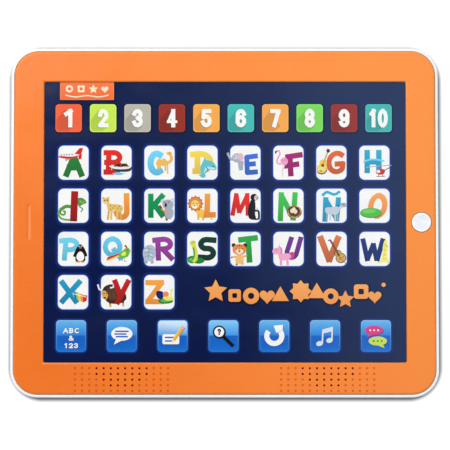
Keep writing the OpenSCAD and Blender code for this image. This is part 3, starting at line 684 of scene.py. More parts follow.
# each sign's thick strokes in a unit box. A stroke is x,y points and arcs (cx,cy,rx,ry,from,to and
# perhaps steps), after its share of the full stroke width if that isn't 1
GLYPHS = dict(row.split(" ", 1) for row in """\
0 .5,.5,.5,.5,90,270 / .5,.5,.5,.5,270,450
1 .12,.8 .8,1 / .75,1 .75,0
2 .5,.68,.5,.32,170,-20,10 0,0 1,0
3 .48,.75,.5,.25,165,-80,10 / .48,.26,.52,.26,80,-165,10
4 .7,0 .7,1 / .62 .66,1.03 -.04,.3 / .66 -.1,.25 1.12,.25
5 .95,1 .08,1 .03,.55 .46,.31,.54,.31,115,-160,12
6 .5,.29,.5,.29,0,180 / .5,.29,.5,.29,180,360 / 0,.29 0,.7 .5,.74,.5,.26,170,15,8
7 0,1 1,1 / .95,.93 .35,0
8 .5,.755,.46,.245,90,270 / .5,.755,.46,.245,270,450 / .5,.255,.5,.255,90,270 / .5,.255,.5,.255,270,450
9 .5,.71,.5,.29,0,180 / .5,.71,.5,.29,180,360 / 1,.71 1,.3 .5,.26,.5,.26,-10,-165,8
A 0,0 .5,1 1,0 / .2,.36 .8,.36
B .14,.05 .14,.95 / -.06,1 .5,1 .5,.75,.45,.25,80,-80,8 .5,.5 0,.5 / .34,.5 .55,.5 \
  .52,.25,.48,.25,85,-85,8 .5,0 -.02,0
C .6,.5,.6,.5,62,300,16
D .22,.05 .22,.95 / -.04,.97 .4,1 .4,.5,.6,.5,85,-85,12 .4,0 .1,0
E 1,1 .08,.93 .14,0 1,.04 / .1,.5 .78,.53
F 1,1 .08,.9 / .24,.8 .3,0 / 0,.42 .74,.5
G .56,.5,.56,.5,58,318,16 1,.44 .6,.42
H .08,0 .08,1 / .92,0 .92,1 / .1,.48 .9,.48
I 0,0 1,1
J .92,1 .95,.3 .5,.26,.45,.26,0,-165,10
K .08,0 .08,1 / 1,1 .28,.48 / .45,.5 1,.02
L .2,1 .12,.02 / .06,0 1,0
M 0,0 .16,1 / .2,.92 .4,.14 / .46,.14 .86,.92 / .9,1 1,0
N .02,0 .08,1 / .14,.92 .82,.08 / .88,.03 1,1
O .5,.5,.5,.5,90,270 / .5,.5,.5,.5,270,450
P .2,0 .26,.9 / -.02,.96 .5,1 .5,.73,.5,.27,80,-80,10 .5,.46 .3,.46
Q .48,.52,.48,.48,90,270 / .48,.52,.48,.48,270,450 / .6,.32 .98,-.12
R .2,0 .16,.9 / -.02,.95 .5,1 .5,.74,.45,.26,80,-80,10 .5,.48 .26,.48 / .55,.4 1,0
S 1,.97 .5,.75,.42,.25,75,250,12 .52,.26,.46,.26,70,-110,12 0,.03
T 0,.92 1,1 / .52,.85 .6,0
U .3,1 .08,.38 .42,.3,.36,.3,175,330,10 .82,.4 1,1
V 0,1 .46,.05 / 1,1 .52,.05
W 0,1 .2,.03 / .24,.06 .5,.74 / .54,.74 .68,.05 / .74,.03 1,1
X .02,0 1,1 / 0,.98 .8,0
Y 0,1 .42,.32 / 1,1 .2,0
Z 0,1 1,1 / .92,.9 .08,.1 / 0,0 1,0
& 1,0 .22,.72 .45,.8,.25,.2,200,0,10 .1,.3 .4,.22,.35,.22,160,300,8 1,.45
? .5,.72,.5,.28,165,-70,12 .5,.44 / .5,.08 .5,0
~ 0,.1 .25,.9 .7,.2 1,.9
""".splitlines())
SMOOTH_SIGNS = ("~",)


def number(word):
    value = float(word)
    return int(value) if value.is_integer() else value


def numbers(word):
    return tuple(number(n) for n in word.split(","))


def sign_strokes(sign):
    """Each stroke's share of the full width, and its points in the unit box."""
    strokes = []
    for text in GLYPHS[sign].split(" / "):
        share, points = 1.0, []
        for values in map(numbers, text.split()):
            if len(values) == 1:
                share = values[0]
            elif len(values) == 2:
                points.append(values)
            else:
                points += arc(*values)
        strokes.append((share, smooth_run(points) if sign in SMOOTH_SIGNS else points))
    return strokes


def lengthened(points, reach, joints):
    """The stroke with each free end carried on by reach. An end that meets another stroke's end stays."""
    points = [Vector(p) for p in points]
    for end, beside in ((0, 1), (-1, -2)):
        if joints.count(tuple(points[end])) < 2:
            points[end] = points[end] + (points[end] - points[beside]).normalized() * reach
    return [tuple(p) for p in points]


def glyph(sign, left, right, low, high, width):
    """A letter or number that fills the box from left to right and from low to high."""
    half = width / 2
    w, h = right - left - width, high - low - width
    strokes = []
    for share, points in sign_strokes(sign):
        placed = [Vector((left + half + x * w, low + half + y * h)) for x, y in points]
        strokes.append((share, [(round(p.x, 3), round(p.y, 3)) for p in placed]))
    joints = [points[end] for _, points in strokes for end in (0, -1)]
    outlines = []
    for share, points in strokes:
        outlines += ribbon(lengthened(points, half * share, joints), width * share)
    return outlines


def moved(outlines, dx, dy):
    return [[(x + dx, y + dy) for x, y in ring] for ring in outlines]


def leaned(outlines, lean):
    """The outlines slanted to the right as they go up."""
    return [[(x + y * lean, y) for x, y in ring] for ring in outlines]


# ---------------- printed sheets

PRINT_LIFT = 0.000015
WELD = 1e-4


class Print:
    """Printed art: outlines in painter's order, cut into one flat layer in which each face shows its
    topmost ink."""

    def __init__(self, cx=0.0, cy=0.0):
        self.cx, self.cy = cx, cy
        self.layers = []

    def add(self, ink, outlines):
        """ink is a colour, or a function from (x, y) to a colour, about the print's own centre."""
        for ring in outlines:
            area = sum(a[0] * b[1] - b[0] * a[1] for a, b in zip(ring, ring[1:] + ring[:1]))
            self.layers.append((ring if area > 0 else ring[::-1], ink))

    def build(self, name, material, height):
        points, faces = [], []
        for ring, _ in self.layers:
            faces.append(list(range(len(points), len(points) + len(ring))))
            points += [Vector(p) for p in ring]
        flat, _, cuts, _, _, covers = delaunay_2d_cdt(points, [], faces, 1, WELD)
        shown = [(cut, max(over)) for cut, over in zip(cuts, covers) if over]
        mesh = bpy.data.meshes.new(name)
        corners = [((p.x + self.cx) * MM, (p.y + self.cy) * MM, height) for p in flat]
        mesh.from_pydata(corners, [], [cut for cut, _ in shown])
        inks = mesh.color_attributes.new("ink", "FLOAT_COLOR", "CORNER")
        values = []
        for cut, top in shown:
            ink = self.layers[top][1]
            for corner in cut:
                values += linear(ink(*flat[corner]) if callable(ink) else ink)
        inks.data.foreach_set("color", values)
        mesh.materials.append(material)
        mesh.update()
        piece = add_object(name, mesh)
        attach(piece, "casing")


# ---------------- inks and drawings

INKS = {
    "white": (255, 251, 243), "snow": (240, 240, 240), "black": (22, 20, 24), "charcoal": (58, 56, 62),
    "grey": (172, 177, 185), "silver": (206, 211, 218), "red": (222, 44, 36), "orange": (250, 150, 62),
    "yellow": (250, 208, 76), "lemon": (246, 236, 96), "lime": (150, 208, 62), "green": (62, 172, 70),
    "forest": (42, 128, 56), "teal": (70, 190, 190), "sky": (112, 204, 236), "blue": (52, 98, 206),
    "navy": (24, 42, 104), "purple": (108, 52, 134), "pink": (246, 170, 200), "magenta": (226, 62, 130),
    "tan": (222, 172, 92), "brown": (124, 74, 40), "umber": (66, 42, 32), "cream": (250, 232, 196),
}
FILM_NAVY = (16, 30, 80)
ROYAL = (20, 66, 176)
NUMBER_INKS = {
    "1": (252, 102, 62), "2": (206, 238, 84), "3": (190, 184, 166), "4": (156, 50, 32), "5": (255, 174, 74),
    "6": (70, 187, 176), "7": (255, 170, 74), "8": (128, 220, 84), "9": (154, 42, 26), "10": (66, 184, 174),
}

SHAPES = {
    "blob": blob, "dots": dots, "heart": heart, "line": line, "oval": oval, "patch": patch, "rods": rods,
    "speech": speech, "star": star, "tile": tile, "bend": lambda width, *turn: ribbon(arc(*turn), width),
}


def ink_of(word):
    """An ink by its name, or written as r,g,b."""
    return INKS.get(word) or numbers(word)


def drawn(text):
    """One shape's outlines: its kind, then what its function takes, with points written x,y. After
    each / come the points of one more line of the same width."""
    text, *more = text.split(" / ")
    kind, *words = text.split()
    if kind == "glyph":
        return glyph(words[0], *map(number, words[1:]))
    outlines = SHAPES[kind](*[numbers(word) if "," in word else number(word) for word in words])
    for points in more:
        outlines += SHAPES[kind](number(words[0]), *map(numbers, points.split()))
    return outlines


def layers(rows):
    """Drawn layers from the bottom up. Each row is an ink, and its shapes with + between them."""
    found = []
    for ink, text in (row.split(" ", 1) for row in rows):
        found.append((ink_of(ink), [ring for shape in text.split(" + ") for ring in drawn(shape)]))
    return found


def drawings(text):
    """Several drawings. Each starts with =, its name and what it shows."""
    blocks = [block.splitlines() for block in text.split("= ")[1:]]
    return {rows[0].split()[0]: layers(rows[1:]) for rows in blocks}


def letter_table(text):
    """Each row's name, to its ink and numbers."""
    rows = [row.split() for row in text.splitlines()]
    return {name: (ink_of(ink), *map(number, values)) for name, ink, *values in rows}


# each letter's ink, stroke width, lean, and box (left, right, low, high) about its key's centre
LETTERS = letter_table("""\
A forest 3.4 0 -5.5 6 -8 5.4
B red 3 .03 -7 3.6 -6.8 7.1
C sky 3.6 0 -6.8 2.6 -7.3 6.9
D yellow 3.3 0 -6.6 6.3 -6.4 6.6
E 66,108,206 2.8 0 -1.1 7 -7 5.1
F 166,30,108 3.1 0 -2.4 8 -7.7 5.9
G 222,98,44 3 .06 -2.9 8 -6.6 6.8
H 46,162,196 3.1 0 -6.2 4.7 -5.9 7.2
I 164,28,30 4 0 -1.8 2.7 -8.8 8.2
J orange 3.2 0 -1.8 7.8 -8.1 7.1
K 24,146,84 3.1 0 -6.9 2.9 -6.8 6.8
L orange 3.2 0 .5 7.5 -6.7 6.8
M red 2.5 .05 -8.1 2.8 -5.6 7.1
N 66,186,76 3 0 -6.2 5.2 -8.7 7.6
NN 46,162,196 2.9 0 -5.3 5.3 -9 4.8
O 250,156,76 3.1 .1 -3.6 7.3 -7.2 7.1
P 112,202,224 2.9 .03 -7.9 3.5 -6.6 6.4
Q 102,194,220 2.9 0 -7.6 3.8 -5.2 7
R 150,66,148 3 0 -3.8 8.2 -6.6 6.9
S 18,58,44 3.2 0 -3.1 7.9 -6.6 6.8
T 44,160,66 3.2 0 -4.1 7 -7.7 7.7
U purple 2.8 .06 -2.6 7.8 -6.2 6.8
V 208,112,60 3.5 0 -7.7 5.2 -8 7.4
W 28,48,112 2.8 0 -7.8 5.8 -7.2 5.9
X 40,146,184 3.1 0 -7.5 4.8 -6.4 6.9
Y 186,34,30 3 0 -2 8 -6.9 7.1
Z 250,156,62 3 0 -7.8 2.7 -6.8 6.8
""")
LETTER_IN_FRONT = ("Y", "I", "L")

# each key's small picture, about its key's centre
PICTURES = drawings("""
= A aeroplane
grey rods 1.1 -4.6,1.2 -1.6,2.8
snow blob -8.6,3.9 -7.4,5 -2,5.4 3.6,5.4 4,4 -1,3 -6.5,3
red blob -8.7,3.6 -6.5,3.7 -1,3.4 3.9,4.3 .8,2.6 -4,2.2 -7.6,2.8 + patch .6,5 3.4,8.3 5.4,8.2 4.2,4.4
red patch 3.2,4.4 2.6,1.6 4.4,2.2 4.8,4.9
charcoal dots .34 -6.8,4.3 -5.3,4.4 -3.8,4.5 -2.3,4.5 -.8,4.6
= B motor boat
sky blob -2.4,-6.2 1,-5.4 4.4,-6 6.6,-5.4 2,-7
charcoal blob -3.9,-1.8 2,-2.6 8.2,-2.2 7.8,-4.6 3.6,-5.2 -1.2,-4.4
snow blob -3.9,-1.7 2.4,-2.5 8,-2.2 6.6,-3.4 2,-3.7 -2.2,-3.2
brown patch -.8,-.6 5.6,-.4 7.2,-2.2 -1.8,-2.2
black patch .2,-.9 2,-.9 2,-1.8 0,-1.8 + patch 3,-.9 4.8,-.9 5.4,-1.8 3,-1.8
= C camel
tan rods .8 -.6,-.6 -1,-3.8 / 3.2,-1 3.3,-4.6
247,190,90 blob -1.8,-1.4 -1.4,1.2 0,2.4 1.2,1.6 2.4,2.6 4.2,1.2 5.2,-.8 2,-1.8
247,190,90 rods .9 .4,-1 0,-3.4 / 4.4,-.8 4.6,-6.3 + line 1.7 4.2,-.2 6.2,.8 6.8,2.8 6,4.8
247,190,90 blob 7,5.4 5.6,6.2 4,5.6 4.4,4.5 6.2,4.2
umber dots .28 5.6,5.4
= D dolphin
106,198,204 blob -.2,-8.2 -.9,-5.4 -1.2,-2.6 .2,.6 1.4,2.8 2.2,1.6 4.8,1 7,-.8 8,-3.4 6.2,-4.4 3.8,-3.8 \
  2.4,-5 1.2,-7.2
106,198,204 blob -1.9,-6.8 .4,-6.4 2,-7.4 .6,-8.6 -1,-8
196,236,236 blob 6,-4 3.6,-3.4 2,-4.4 .8,-6.2 1.6,-2.8 3.6,-2.2 7.2,-3.2
40,140,160 line .5 2.2,-2.4 3.2,-4.2 2.6,-5
black dots .36 6,-2.2
= E elephant
grey patch -4.4,1 -1,1 -1.4,-4.2 -3.6,-4.4 + line 1.3 -6,2.2 -7.8,1.8 -9.2,3.6 -10,5.6
grey oval -4.8 2.7 2.9 2.6
silver oval -5.6 3.2 1.5 1.4
236,188,200 oval -2.7 3.2 1.7 2.3 10
charcoal dots .32 -6.2,3.4
white line .5 -6.6,1 -7.8,.2 -8.6,.8
= F wading bird
pink line 1 -2.6,.4 -4.8,-.8 -6.4,.4 -5.8,2.8 -4.8,4.8 -5.2,6.6 -6.4,6.6
pink blob -4.6,1.4 -2.4,3 -.4,1.6 -.8,-.8 -3.2,-1.2
232,132,172 line .6 -3.8,.8 -2.2,1.6 -1,.8
pink rods .35 -3,-1 -3.4,-8 / -1.8,-1 -3.2,-4.4
black blob -6.2,6.9 -7.5,6.2 -7.3,4.9 -6.6,5.8
= G guitar
96,70,130 oval -5.2 -4.2 3 2.4 20
yellow oval -5.4 -3.3 2.9 2.6 20 + oval -4.6 -.2 2.1 2
250,226,120 oval -5.6 -3.2 2 1.7 20
brown oval -4.9 -1.5 .9 .9
tan rods .9 -4.6,-.8 -2.1,5.8
umber oval -1.8 6.7 1 1.1
brown rods .5 -6.6,-4.4 -5.2,-4.9
= H helicopter
120,216,240 line 1 -6.2,.4 -3,1.6 1,1.8 5.6,.8
red blob .8,-5.6 1.6,-3.8 3.8,-3.4 5.8,-4.2 5.4,-6.2 2.6,-6.8
snow oval 2.2 -4.9 1.1 .9
charcoal rods .5 5.4,-4.4 8.6,-2.8 + rods .4 3.8,-3.4 3.6,-1.9
grey rods .45 -4.6,-2.6 3.6,-1.8 9.6,-1.5
charcoal rods .35 1.2,-7.8 6,-7.6 + rods .3 2.6,-6.6 2.2,-7.7 / 4.6,-6.4 4.8,-7.6
= I lizard with a curled tail
88,152,62 line 1.9 -1.4,-.6 -4.2,-.4 -7.4,-2.4
110,176,74 line 1.1 -7,-1.8 -8.3,-4 -7.4,-6.6 -4.6,-7.8 -1.6,-8
88,152,62 line 1 -7.4,-2.2 -7,-4.6 -5.2,-5 -4.6,-3.4 -5.8,-3 + blob 2.4,4 5.4,4.2 7.4,1.8 5.4,.8 3,-.4
132,190,84 blob 3.2,2.8 5.2,3 6.4,1.9 4.4,1.5
black dots .34 4.9,2.6
forest line .6 3.4,-.6 5.2,-1.8 4.2,-3.4
= J spotted cat
tan rods 1.1 -4,-1 -4.8,-7.9 / 2.2,-1.6 2.6,-8
240,196,104 rods 1.2 -2.6,-1 -3,-8 / .6,-2 .4,-7.8
240,196,104 blob -5.2,1.4 -2,.9 2,.6 3.6,-.8 3,-3 -1,-2.6 -4.4,-3.2
240,196,104 oval -5.8 2.6 2 1.9 + oval -7.4 4.3 .7 + oval -4.4 4.4 .7
cream oval -6.3 1.8 1 .8
brown dots .3 -3.4,0 -2,-1.2 -.8,-.2 .6,-1.4 1.8,-.4 2.6,-1.8 -3.2,-2 -4.9,3.4
black dots .36 -6.5,3 -5.2,2.9 -6.4,2
= K furry climber
brown line 1.2 0,.2 1.6,-2.2 3.6,-5.6 4.2,-8.4
grey blob 3,-2 6.8,-1.2 8,-4.4 6.2,-7.6 3.6,-6.4
silver oval 1.9 2.6 1.2 + oval 7.3 3 1.2
grey oval 4.8 .6 3.2 2.9
snow oval 7.2 3 .6
black oval 3.6 .4 .6 1.1 + dots .3 2.8,1.8 5.2,1.9
tan line .9 1.2,-1.6 3.2,-3.4 5.2,-3.2
= L maned cat
250,196,82 blob -3.6,-2 -.4,-1.6 1.6,-3.6 3,-6.6 -.6,-6.8 -2.8,-5.4
232,176,74 rods 1 -2.4,-5 -2.2,-8 / .6,-5.6 .4,-8.2 + rods .9 4.6,-7.4 5.6,-7.4
196,104,54 star -3.9 1.2 4.6 3.7 12
226,140,70 oval -3.9 1.2 3.5 3.5
252,206,110 oval -4.1 .7 2.4 2.5
white oval -4.4 -.5 1.2 .9
black dots .3 -5,1.4 -3.1,1.4 + oval -4.4 0 .5 .35
= M seated ape
black line 1.1 4.4,-3 7.2,-3 7.6,-7 + line .9 3.6,-6.8 5.8,-7.6 8,-7.2
black blob 2.8,2.6 4,3.8 5.4,2.4 5.6,-1 5.4,-4.4 5.8,-7.6 2.4,-7.4 1.4,-4.4 1.8,-.6 + oval 4.9 4.7 2.1 2
224,214,196 oval 6.2 4.4 1.3 1.5
black dots .3 5.9,4.9 6.8,4.8 + oval 6.5 3.9 .5 .25
grey line .35 5.8,-1 6.8,-1.9 6.4,-2.4
= N nest
brown oval 3.3 -3.5 4.2 3.6
umber oval 3.2 -2.9 2.9 2.1
240,226,196 oval 2 -2.9 1.1 1.3 20 + oval 3.9 -3.3 1.1 1.3 -15
cream oval 3 -2 1 1.2
tan line .4 -.6,-4.2 2.6,-6.6 6.4,-5.4 / -.2,-2.4 .6,-5.4 4.6,-6.8
tan line .4 1.2,-.2 5.4,-.6 7.2,-3.8 + line .35 6,-1 7,-2.6 6.2,-5.2
umber line .3 .2,-5.8 3.6,-5.6 7,-4.2 / -.4,-3.4 1.4,-1 3.8,0
= NN woolly grazing animal
grey rods .9 -2,-3 -2.6,-8.3 / 3,-3 3.6,-8.2
silver rods .9 -.6,-3 -.8,-8.4 / 1.8,-3 2.2,-8.4
silver blob -3.2,-1.2 0,-.8 3.4,-.6 4.4,-2.4 3.2,-4.6 -1.8,-4.8 -3.4,-3.2 + line 1.6 3.4,-1.8 5,-1 6,.2
grey blob 5,1.2 7.6,1.6 8.6,-.2 6.4,-.8
charcoal dots .28 6.9,.8 + rods .5 3.4,-.2 4.6,.2
= O green oval
forest oval -2 -4.1 6.2 2.8
86,192,64 oval -2 -3.8 6.1 2.6
122,212,92 oval -3 -3.1 3.8 1.2 4
= P penguin
orange oval 2.6 -7.2 1.3 .5 + oval 5.2 -7.2 1.3 .5
black blob 4,2.6 6,.8 7.9,-3.6 6.8,-4.4 6.4,-6.8 1.6,-6.8 1.2,-4.6 0,-4 2,.8
white blob 4,-1.4 5.8,-3 6,-5.6 4,-7 2,-5.6 2.2,-3
150,110,96 oval 4 .9 .9 .8
white dots .3 3.2,1.5 4.8,1.5
= Q parrot
red patch -5.6,-6.6 -4.8,-4.6 2,-2.4 2.2,-3.4
yellow patch -4.8,-6.9 -4.4,-5.9 2.4,-3 2.6,-3.9
charcoal rods .3 4.4,-4.6 4.4,-6.8 5.8,-7 / 3.6,-4.4 3.2,-6.8
104,190,60 blob 1.2,-3.4 3.8,-.8 5.8,.6 7.4,0 7.6,-2.2 6,-4.6 3.2,-5
lemon blob 4.4,-1.6 5.4,-2 5,-3.6 3.2,-3.8 2.8,-2.8
red patch 5.4,2.4 4.4,1.8 5.6,.2 6.4,.6
black dots .3 6.4,-.6
orange patch 7.4,-.2 8.4,-1.2 7.4,-1.6
= R thick-skinned animal
grey rods 1.7 -7.4,-4 -7.4,-8.2 / -4.2,-4 -4,-8.2
184,194,206 blob -9.2,-1.6 -7.6,1.6 -4.6,2.2 -2.4,.4 -2.2,-4.4 -4.8,-7 -8.4,-5.6
138,148,162 line .35 -8.4,-.8 -6.2,.2 -3.4,-.6 / -8.6,-2.6 -6,-1.8 -3.2,-2.8
138,148,162 line .35 -8.2,-4.6 -6,-3.8 -3.4,-4.8 + line .3 -6.2,1.4 -5.8,-1.6 -6.4,-5.2
214,222,230 oval -7.4 -.6 .9 .6 20 + oval -4.6 -3.4 .8 .5
charcoal dots .3 -7.9,.2
= S snake
forest oval -5.6 -6 3.2 2.1 + oval -2.2 -6.6 3.4 1.7
green oval -5.6 -6.2 3.4 1.3
lime oval -5 -5.9 2.2 .7
222,226,84 line 2.5 -5.4,-7.2 -4,-5.2 -3.8,-2.4 -4.4,.4 -5.2,2.6
green line .9 -6,-6.6 -4.8,-4.6 -4.6,-2 -5,.8
222,226,84 oval -5.4 3.4 1.9 1.3 15
black dots .28 -5.8,3.6 -4.9,3.8
= T striped cat
250,172,92 rods 1 -5,-4.2 -8,-4.8 / -2,-4.2 1,-4
250,172,92 rods 1.4 -4.6,-6 -4.9,-8.9 / -2,-6 -1.7,-8.9
250,196,120 oval -3.3 -5.8 2.4 2.7
umber oval -6.6 2 1.2 + oval -.2 2 1.2
246,138,58 oval -3.4 -.4 3.9 3.1
cream blob -5.6,-1.6 -4.6,.2 -3.4,-.8 -2.2,.2 -1.2,-1.6 -3.4,-3.2
umber dots .36 -5,0 -1.8,0 + oval -3.4 -1.3 .6 .4
umber rods .4 -3.4,2.6 -3.4,1.2 + rods .35 -4.6,2.3 -4.4,1.3 / -2.2,2.3 -2.4,1.3
umber rods .4 -8.2,-5 -7.4,-4.7 / 1.4,-4 .6,-4 + rods .5 -5.4,-8.9 -4.4,-8.9
= U pink pony
244,160,198 rods 1.3 -4.4,-5 -4.2,-9.2 / -.8,-5 -.4,-9.2
magenta blob .4,-3.4 1.6,-1.6 3.2,-2.4 2.8,-5.2 1.2,-5.6
pink blob -5.2,.4 -3.4,-2.4 .4,-2.6 1.2,-5 -1.8,-6.4 -5,-6 -5.8,-2.6
pink oval -6.6 -1.2 2.5 1.9 15 + patch -5.8,.2 -5.4,3 -4.4,.2
236,120,170 line .8 -4.6,1 -3.8,-.8 -4.2,-2.8
brown dots .3 -6.8,-.6
= V bowed instrument
umber oval 5.2 -5.1 3 2.9 + oval 3.5 -2.5 2.1 2
tan oval 5.2 -5.1 2.6 2.5 + oval 3.5 -2.5 1.7 1.6
brown rods 1.1 4.4,-3.9 -.8,5
purple rods .6 -.6,5.2 -2,4.6
umber rods .3 4.2,-6.2 5.2,-4.6 / 6.2,-5 6.6,-3.8
brown rods .3 1,-1 8.2,-8.6
= W worm sitting up
250,240,124 blob 1,-8.3 3.4,-6.2 4.4,-2.4 4.6,1.4 5.6,4.8 7,4.4 7.4,.6 7,-3.6 8,-7.8 4.6,-7.4
244,222,84 line .6 5.4,3 5.6,-1 4.8,-5
222,196,80 rods .3 4.8,-3.6 7,-3.2 / 4.4,-5.8 6.8,-5.6 / 5,-.8 7.2,-.4
black dots .3 6.9,1.4 6.2,2.2
= X toy chime bars
teal patch -.8,-.8 .4,.4 1.4,-2.8 .4,-3
blue patch .2,-.2 1.6,.4 2.4,-3.6 1.2,-3.6
lime patch 1.4,-.2 2.8,.1 3.5,-4.4 2.2,-4.2
yellow patch 2.6,-.6 4.2,-.5 4.7,-5 3.2,-4.8
orange patch 4,-1.1 5.6,-1.1 5.9,-5.6 4.4,-5.3
red patch 5.4,-1.7 8,-1.8 7.6,-4.8 5.7,-5.9
white rods .35 -.2,-.8 7.4,-2.8
= Y shaggy horned animal
umber rods 1 -3.6,-4 -3.2,-8.4 / 3.8,-3 4,-8
tan rods 1 -3.2,-6.6 -3.1,-8.4 + rods .9 4,-6.2 4,-8
umber blob -8,-.8 -6.6,3 -2.6,4.4 .6,2.6 4.6,.2 5.6,-3.8 2,-6.4 -3.4,-6.2 -6.2,-4.2
92,58,40 blob -5,2.2 -1.8,3.2 .8,1 .4,-3 -2.6,-4.8 -4.6,-2
brown line .5 -3.8,0 -3.2,-3.6 / -1.6,.6 -1.2,-4 / 2.4,-1.2 2.2,-4.8
tan blob -8.2,.2 -6.2,.8 -4.6,-1.4 -5.4,-4 -7.4,-3.4
snow line .9 -8,1.4 -9.4,1.6 -10.3,4.3 / -3.4,2.4 -1.6,3 -1.4,5.6
black dots .34 -6.8,-.8 -5.4,-.7 + oval -6.4 -3.2 .9 .4
= Z duck on a pond
forest oval 3.6 -5 4.2 1.5
96,190,80 oval 3.6 -4.8 3 .8
navy blob -1.2,.6 1.6,.4 2.6,-1.4 1.6,-3.8 -.8,-3.4 -1.8,-1.2
250,140,90 oval 3.7 -1.2 1.7 1.6
lemon blob 2.4,-2.8 6.2,-2.4 7.8,-3.2 7.2,-4.6 3.4,-4.4
lemon line .8 6.6,-2.8 6.6,-.4 7.6,1.8 + rods .7 6,1.2 8,1.4
""")

# the blue keys' icons from left to right, about each key's centre
ICONS = drawings("""
= abc letters and numbers
white glyph A -4.5 -1.5 1.5 4.4 .62 + glyph B -1.1 1.3 1.5 4.4 .62 + glyph C 2 4.6 1.5 4.4 .62
white glyph & -1.4 1.4 -2.7 .2 .55
white glyph 1 -3.7 -2.1 -6.8 -4 .62 + glyph 2 -1.2 1.1 -6.8 -4 .62 + glyph 3 1.7 3.9 -6.8 -4 .62
= talk speech bubble
white speech 0 1.2 6 3.9 -1
20,90,190 rods .8 -3.8,2.6 3.8,2.6 / -4.2,1.1 2.6,1.1 / -3.4,-.4 3.4,-.4
= pencil pencil on a card
white tile -1 -1.8 9.4 5.6 .9
20,90,190 rods .8 -4.4,-.8 2,-.8 / -4.4,-2.8 .4,-2.8
yellow rods 2 .6,-2.4 5.2,4.2
orange rods .7 .9,-2.5 5.5,4.1
cream patch -.3,-1.8 1.5,-3 -.3,-4.4
pink rods 2 5.2,4.2 6,5.3
= lens question mark under a lens
black rods 2 0,-.4 5.3,-5.6 + oval -2.4 2.25 3.6
white oval -2.4 2.25 2.75
black glyph ? -3.4 -1.4 .5 4.1 .85
= again arrow turning back
white bend 2.9 0 0 4.2 4.2 140 275 + bend 2.9 0 0 4.2 4.2 265 398 + patch -.4,5.8 5,6.3 4.6,3.4 1.2,1.6
= music two joined notes
222,230,240 oval -3.1 -4.2 2 1.4 15 + oval 2.4 -2.5 1.8 1.4 15
222,230,240 rods .9 -1.6,-4 -1.2,3.2 / 3.8,-2.4 4,4.6 + patch -1.8,1.2 -1.6,3.6 4.5,5.3 4.5,2.6
= two two speech bubbles
magenta speech -1 3.2 5.2 2.6 -1
206,226,90 speech 1 -2.8 5.2 2.6 1
white dots .55 -3.2,3.2 -1,3.2 1.2,3.2
forest dots .55 -1.2,-2.8 1,-2.8 3.2,-2.8
""")

TAG_MARKS = layers("""\
cream line .7 -12.2,-2.6 -6.5,-3.7 0,-2.9 6.5,-3.7 12.2,-2.6
cream oval -9.9 .9 2.1 + tile -3.3 .9 3.9 3.9 .6 + star 3.6 .7 2.7 1.35 + heart 10 .7 2.1
250,108,58 oval -9.9 .9 .9 + tile -3.3 .9 1.6 1.6 .3
""".splitlines())


# ---------------- the keypad's prints

PRINT_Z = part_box("printed_overlay")[1].z + PRINT_LIFT


def by_height(low, high, colours):
    """Ink that changes with y from low to high, through evenly spaced colours."""
    def ink(x, y):
        t = min(0.9999, max(0.0, (y - low) / (high - low))) * (len(colours) - 1)
        return blend_colours(colours[int(t)], colours[int(t) + 1], t % 1)
    return ink


def grown(size, reach=0.0):
    """A key's tile of this width, height and corner radius, made larger by reach all round."""
    width, height, radius = size
    return tile(0, 0, width + 2 * reach, height + 2 * reach, radius + reach)


NUMBER_KEY = (14.8, 15.7, 1.9)
NUMBER_WIDTH = 2.3
NUMBER_BOX = (-2.95, 2.95, -5.2, 5.1)
TEN_WIDTH = 2.2
TEN_BOXES = (("1", -5.3, -1.3), ("0", -0.5, 5.2))


def number_key(sign, cx, cy, material):
    """A flat coloured tile with a white number that casts a long printed shadow to the lower left."""
    width, height, radius = NUMBER_KEY
    ink = NUMBER_INKS[sign]
    art = Print(cx, cy)
    art.add(shade(FILM_NAVY, 0.55), tile(0.3, -0.2, width + 1.3, height + 1.5, radius + 0.6))
    art.add(shade(ink, 1.07), grown(NUMBER_KEY))
    art.add(ink, tile(0, 0, width - 1.0, height - 1.0, radius - 0.4))
    edge, drop = width / 2 - 0.5, height / 2 - 0.5
    cast = [(-2.2, 4.8), (2.9, -4.6), (-0.4, -drop)]
    cast += [(-edge + 1.4, -drop), (-edge, -drop + 1.4), (-edge, -0.9)]
    art.add(shade(ink, 0.88), [cast])
    left, right, low, high = NUMBER_BOX
    if sign == "10":
        signs = [glyph(digit, start, end, low, high, TEN_WIDTH) for digit, start, end in TEN_BOXES]
    else:
        signs = [glyph(sign, left, right, low, high, NUMBER_WIDTH)]
    for outlines in signs:
        art.add(shade(ink, 0.72), moved(outlines, -0.35, -0.3))
    for outlines in signs:
        art.add(INKS["white"], outlines)
    art.build("number_key_" + sign, material, PRINT_Z)


LETTER_KEY = (16.7, 18.9, 2.9)
GLOW_REACH = 2.0
GLOW_RINGS = 5
TILDE = (-5.4, 4.9, 5.2, 8.6, 1.5)
INK_SPAN = (-8, 8)


def letter_key(name, cx, cy, material):
    """A white key in a royal blue glow, with its letter and a small picture."""
    art = Print(cx, cy)
    for i in range(GLOW_RINGS, 0, -1):
        glow = blend_colours(ROYAL, FILM_NAVY, (i / GLOW_RINGS) ** 0.8)
        art.add(glow, grown(LETTER_KEY, GLOW_REACH * i / GLOW_RINGS))
    art.add((200, 212, 246), grown(LETTER_KEY, 0.2))
    art.add(INKS["white"], grown(LETTER_KEY, -0.1))
    ink, stroke, lean, *box = LETTERS[name]
    outlines = leaned(glyph(name[0], *box, stroke), lean)
    if name == "NN":
        outlines += glyph("~", *TILDE)
    letter = [(by_height(*INK_SPAN, [shade(ink, 0.90), ink, shade(ink, 1.10)]), outlines)]
    picture = PICTURES[name]
    for colour, shapes in picture + letter if name in LETTER_IN_FRONT else letter + picture:
        art.add(colour, shapes)
    art.build("letter_key_" + name, material, PRINT_Z)


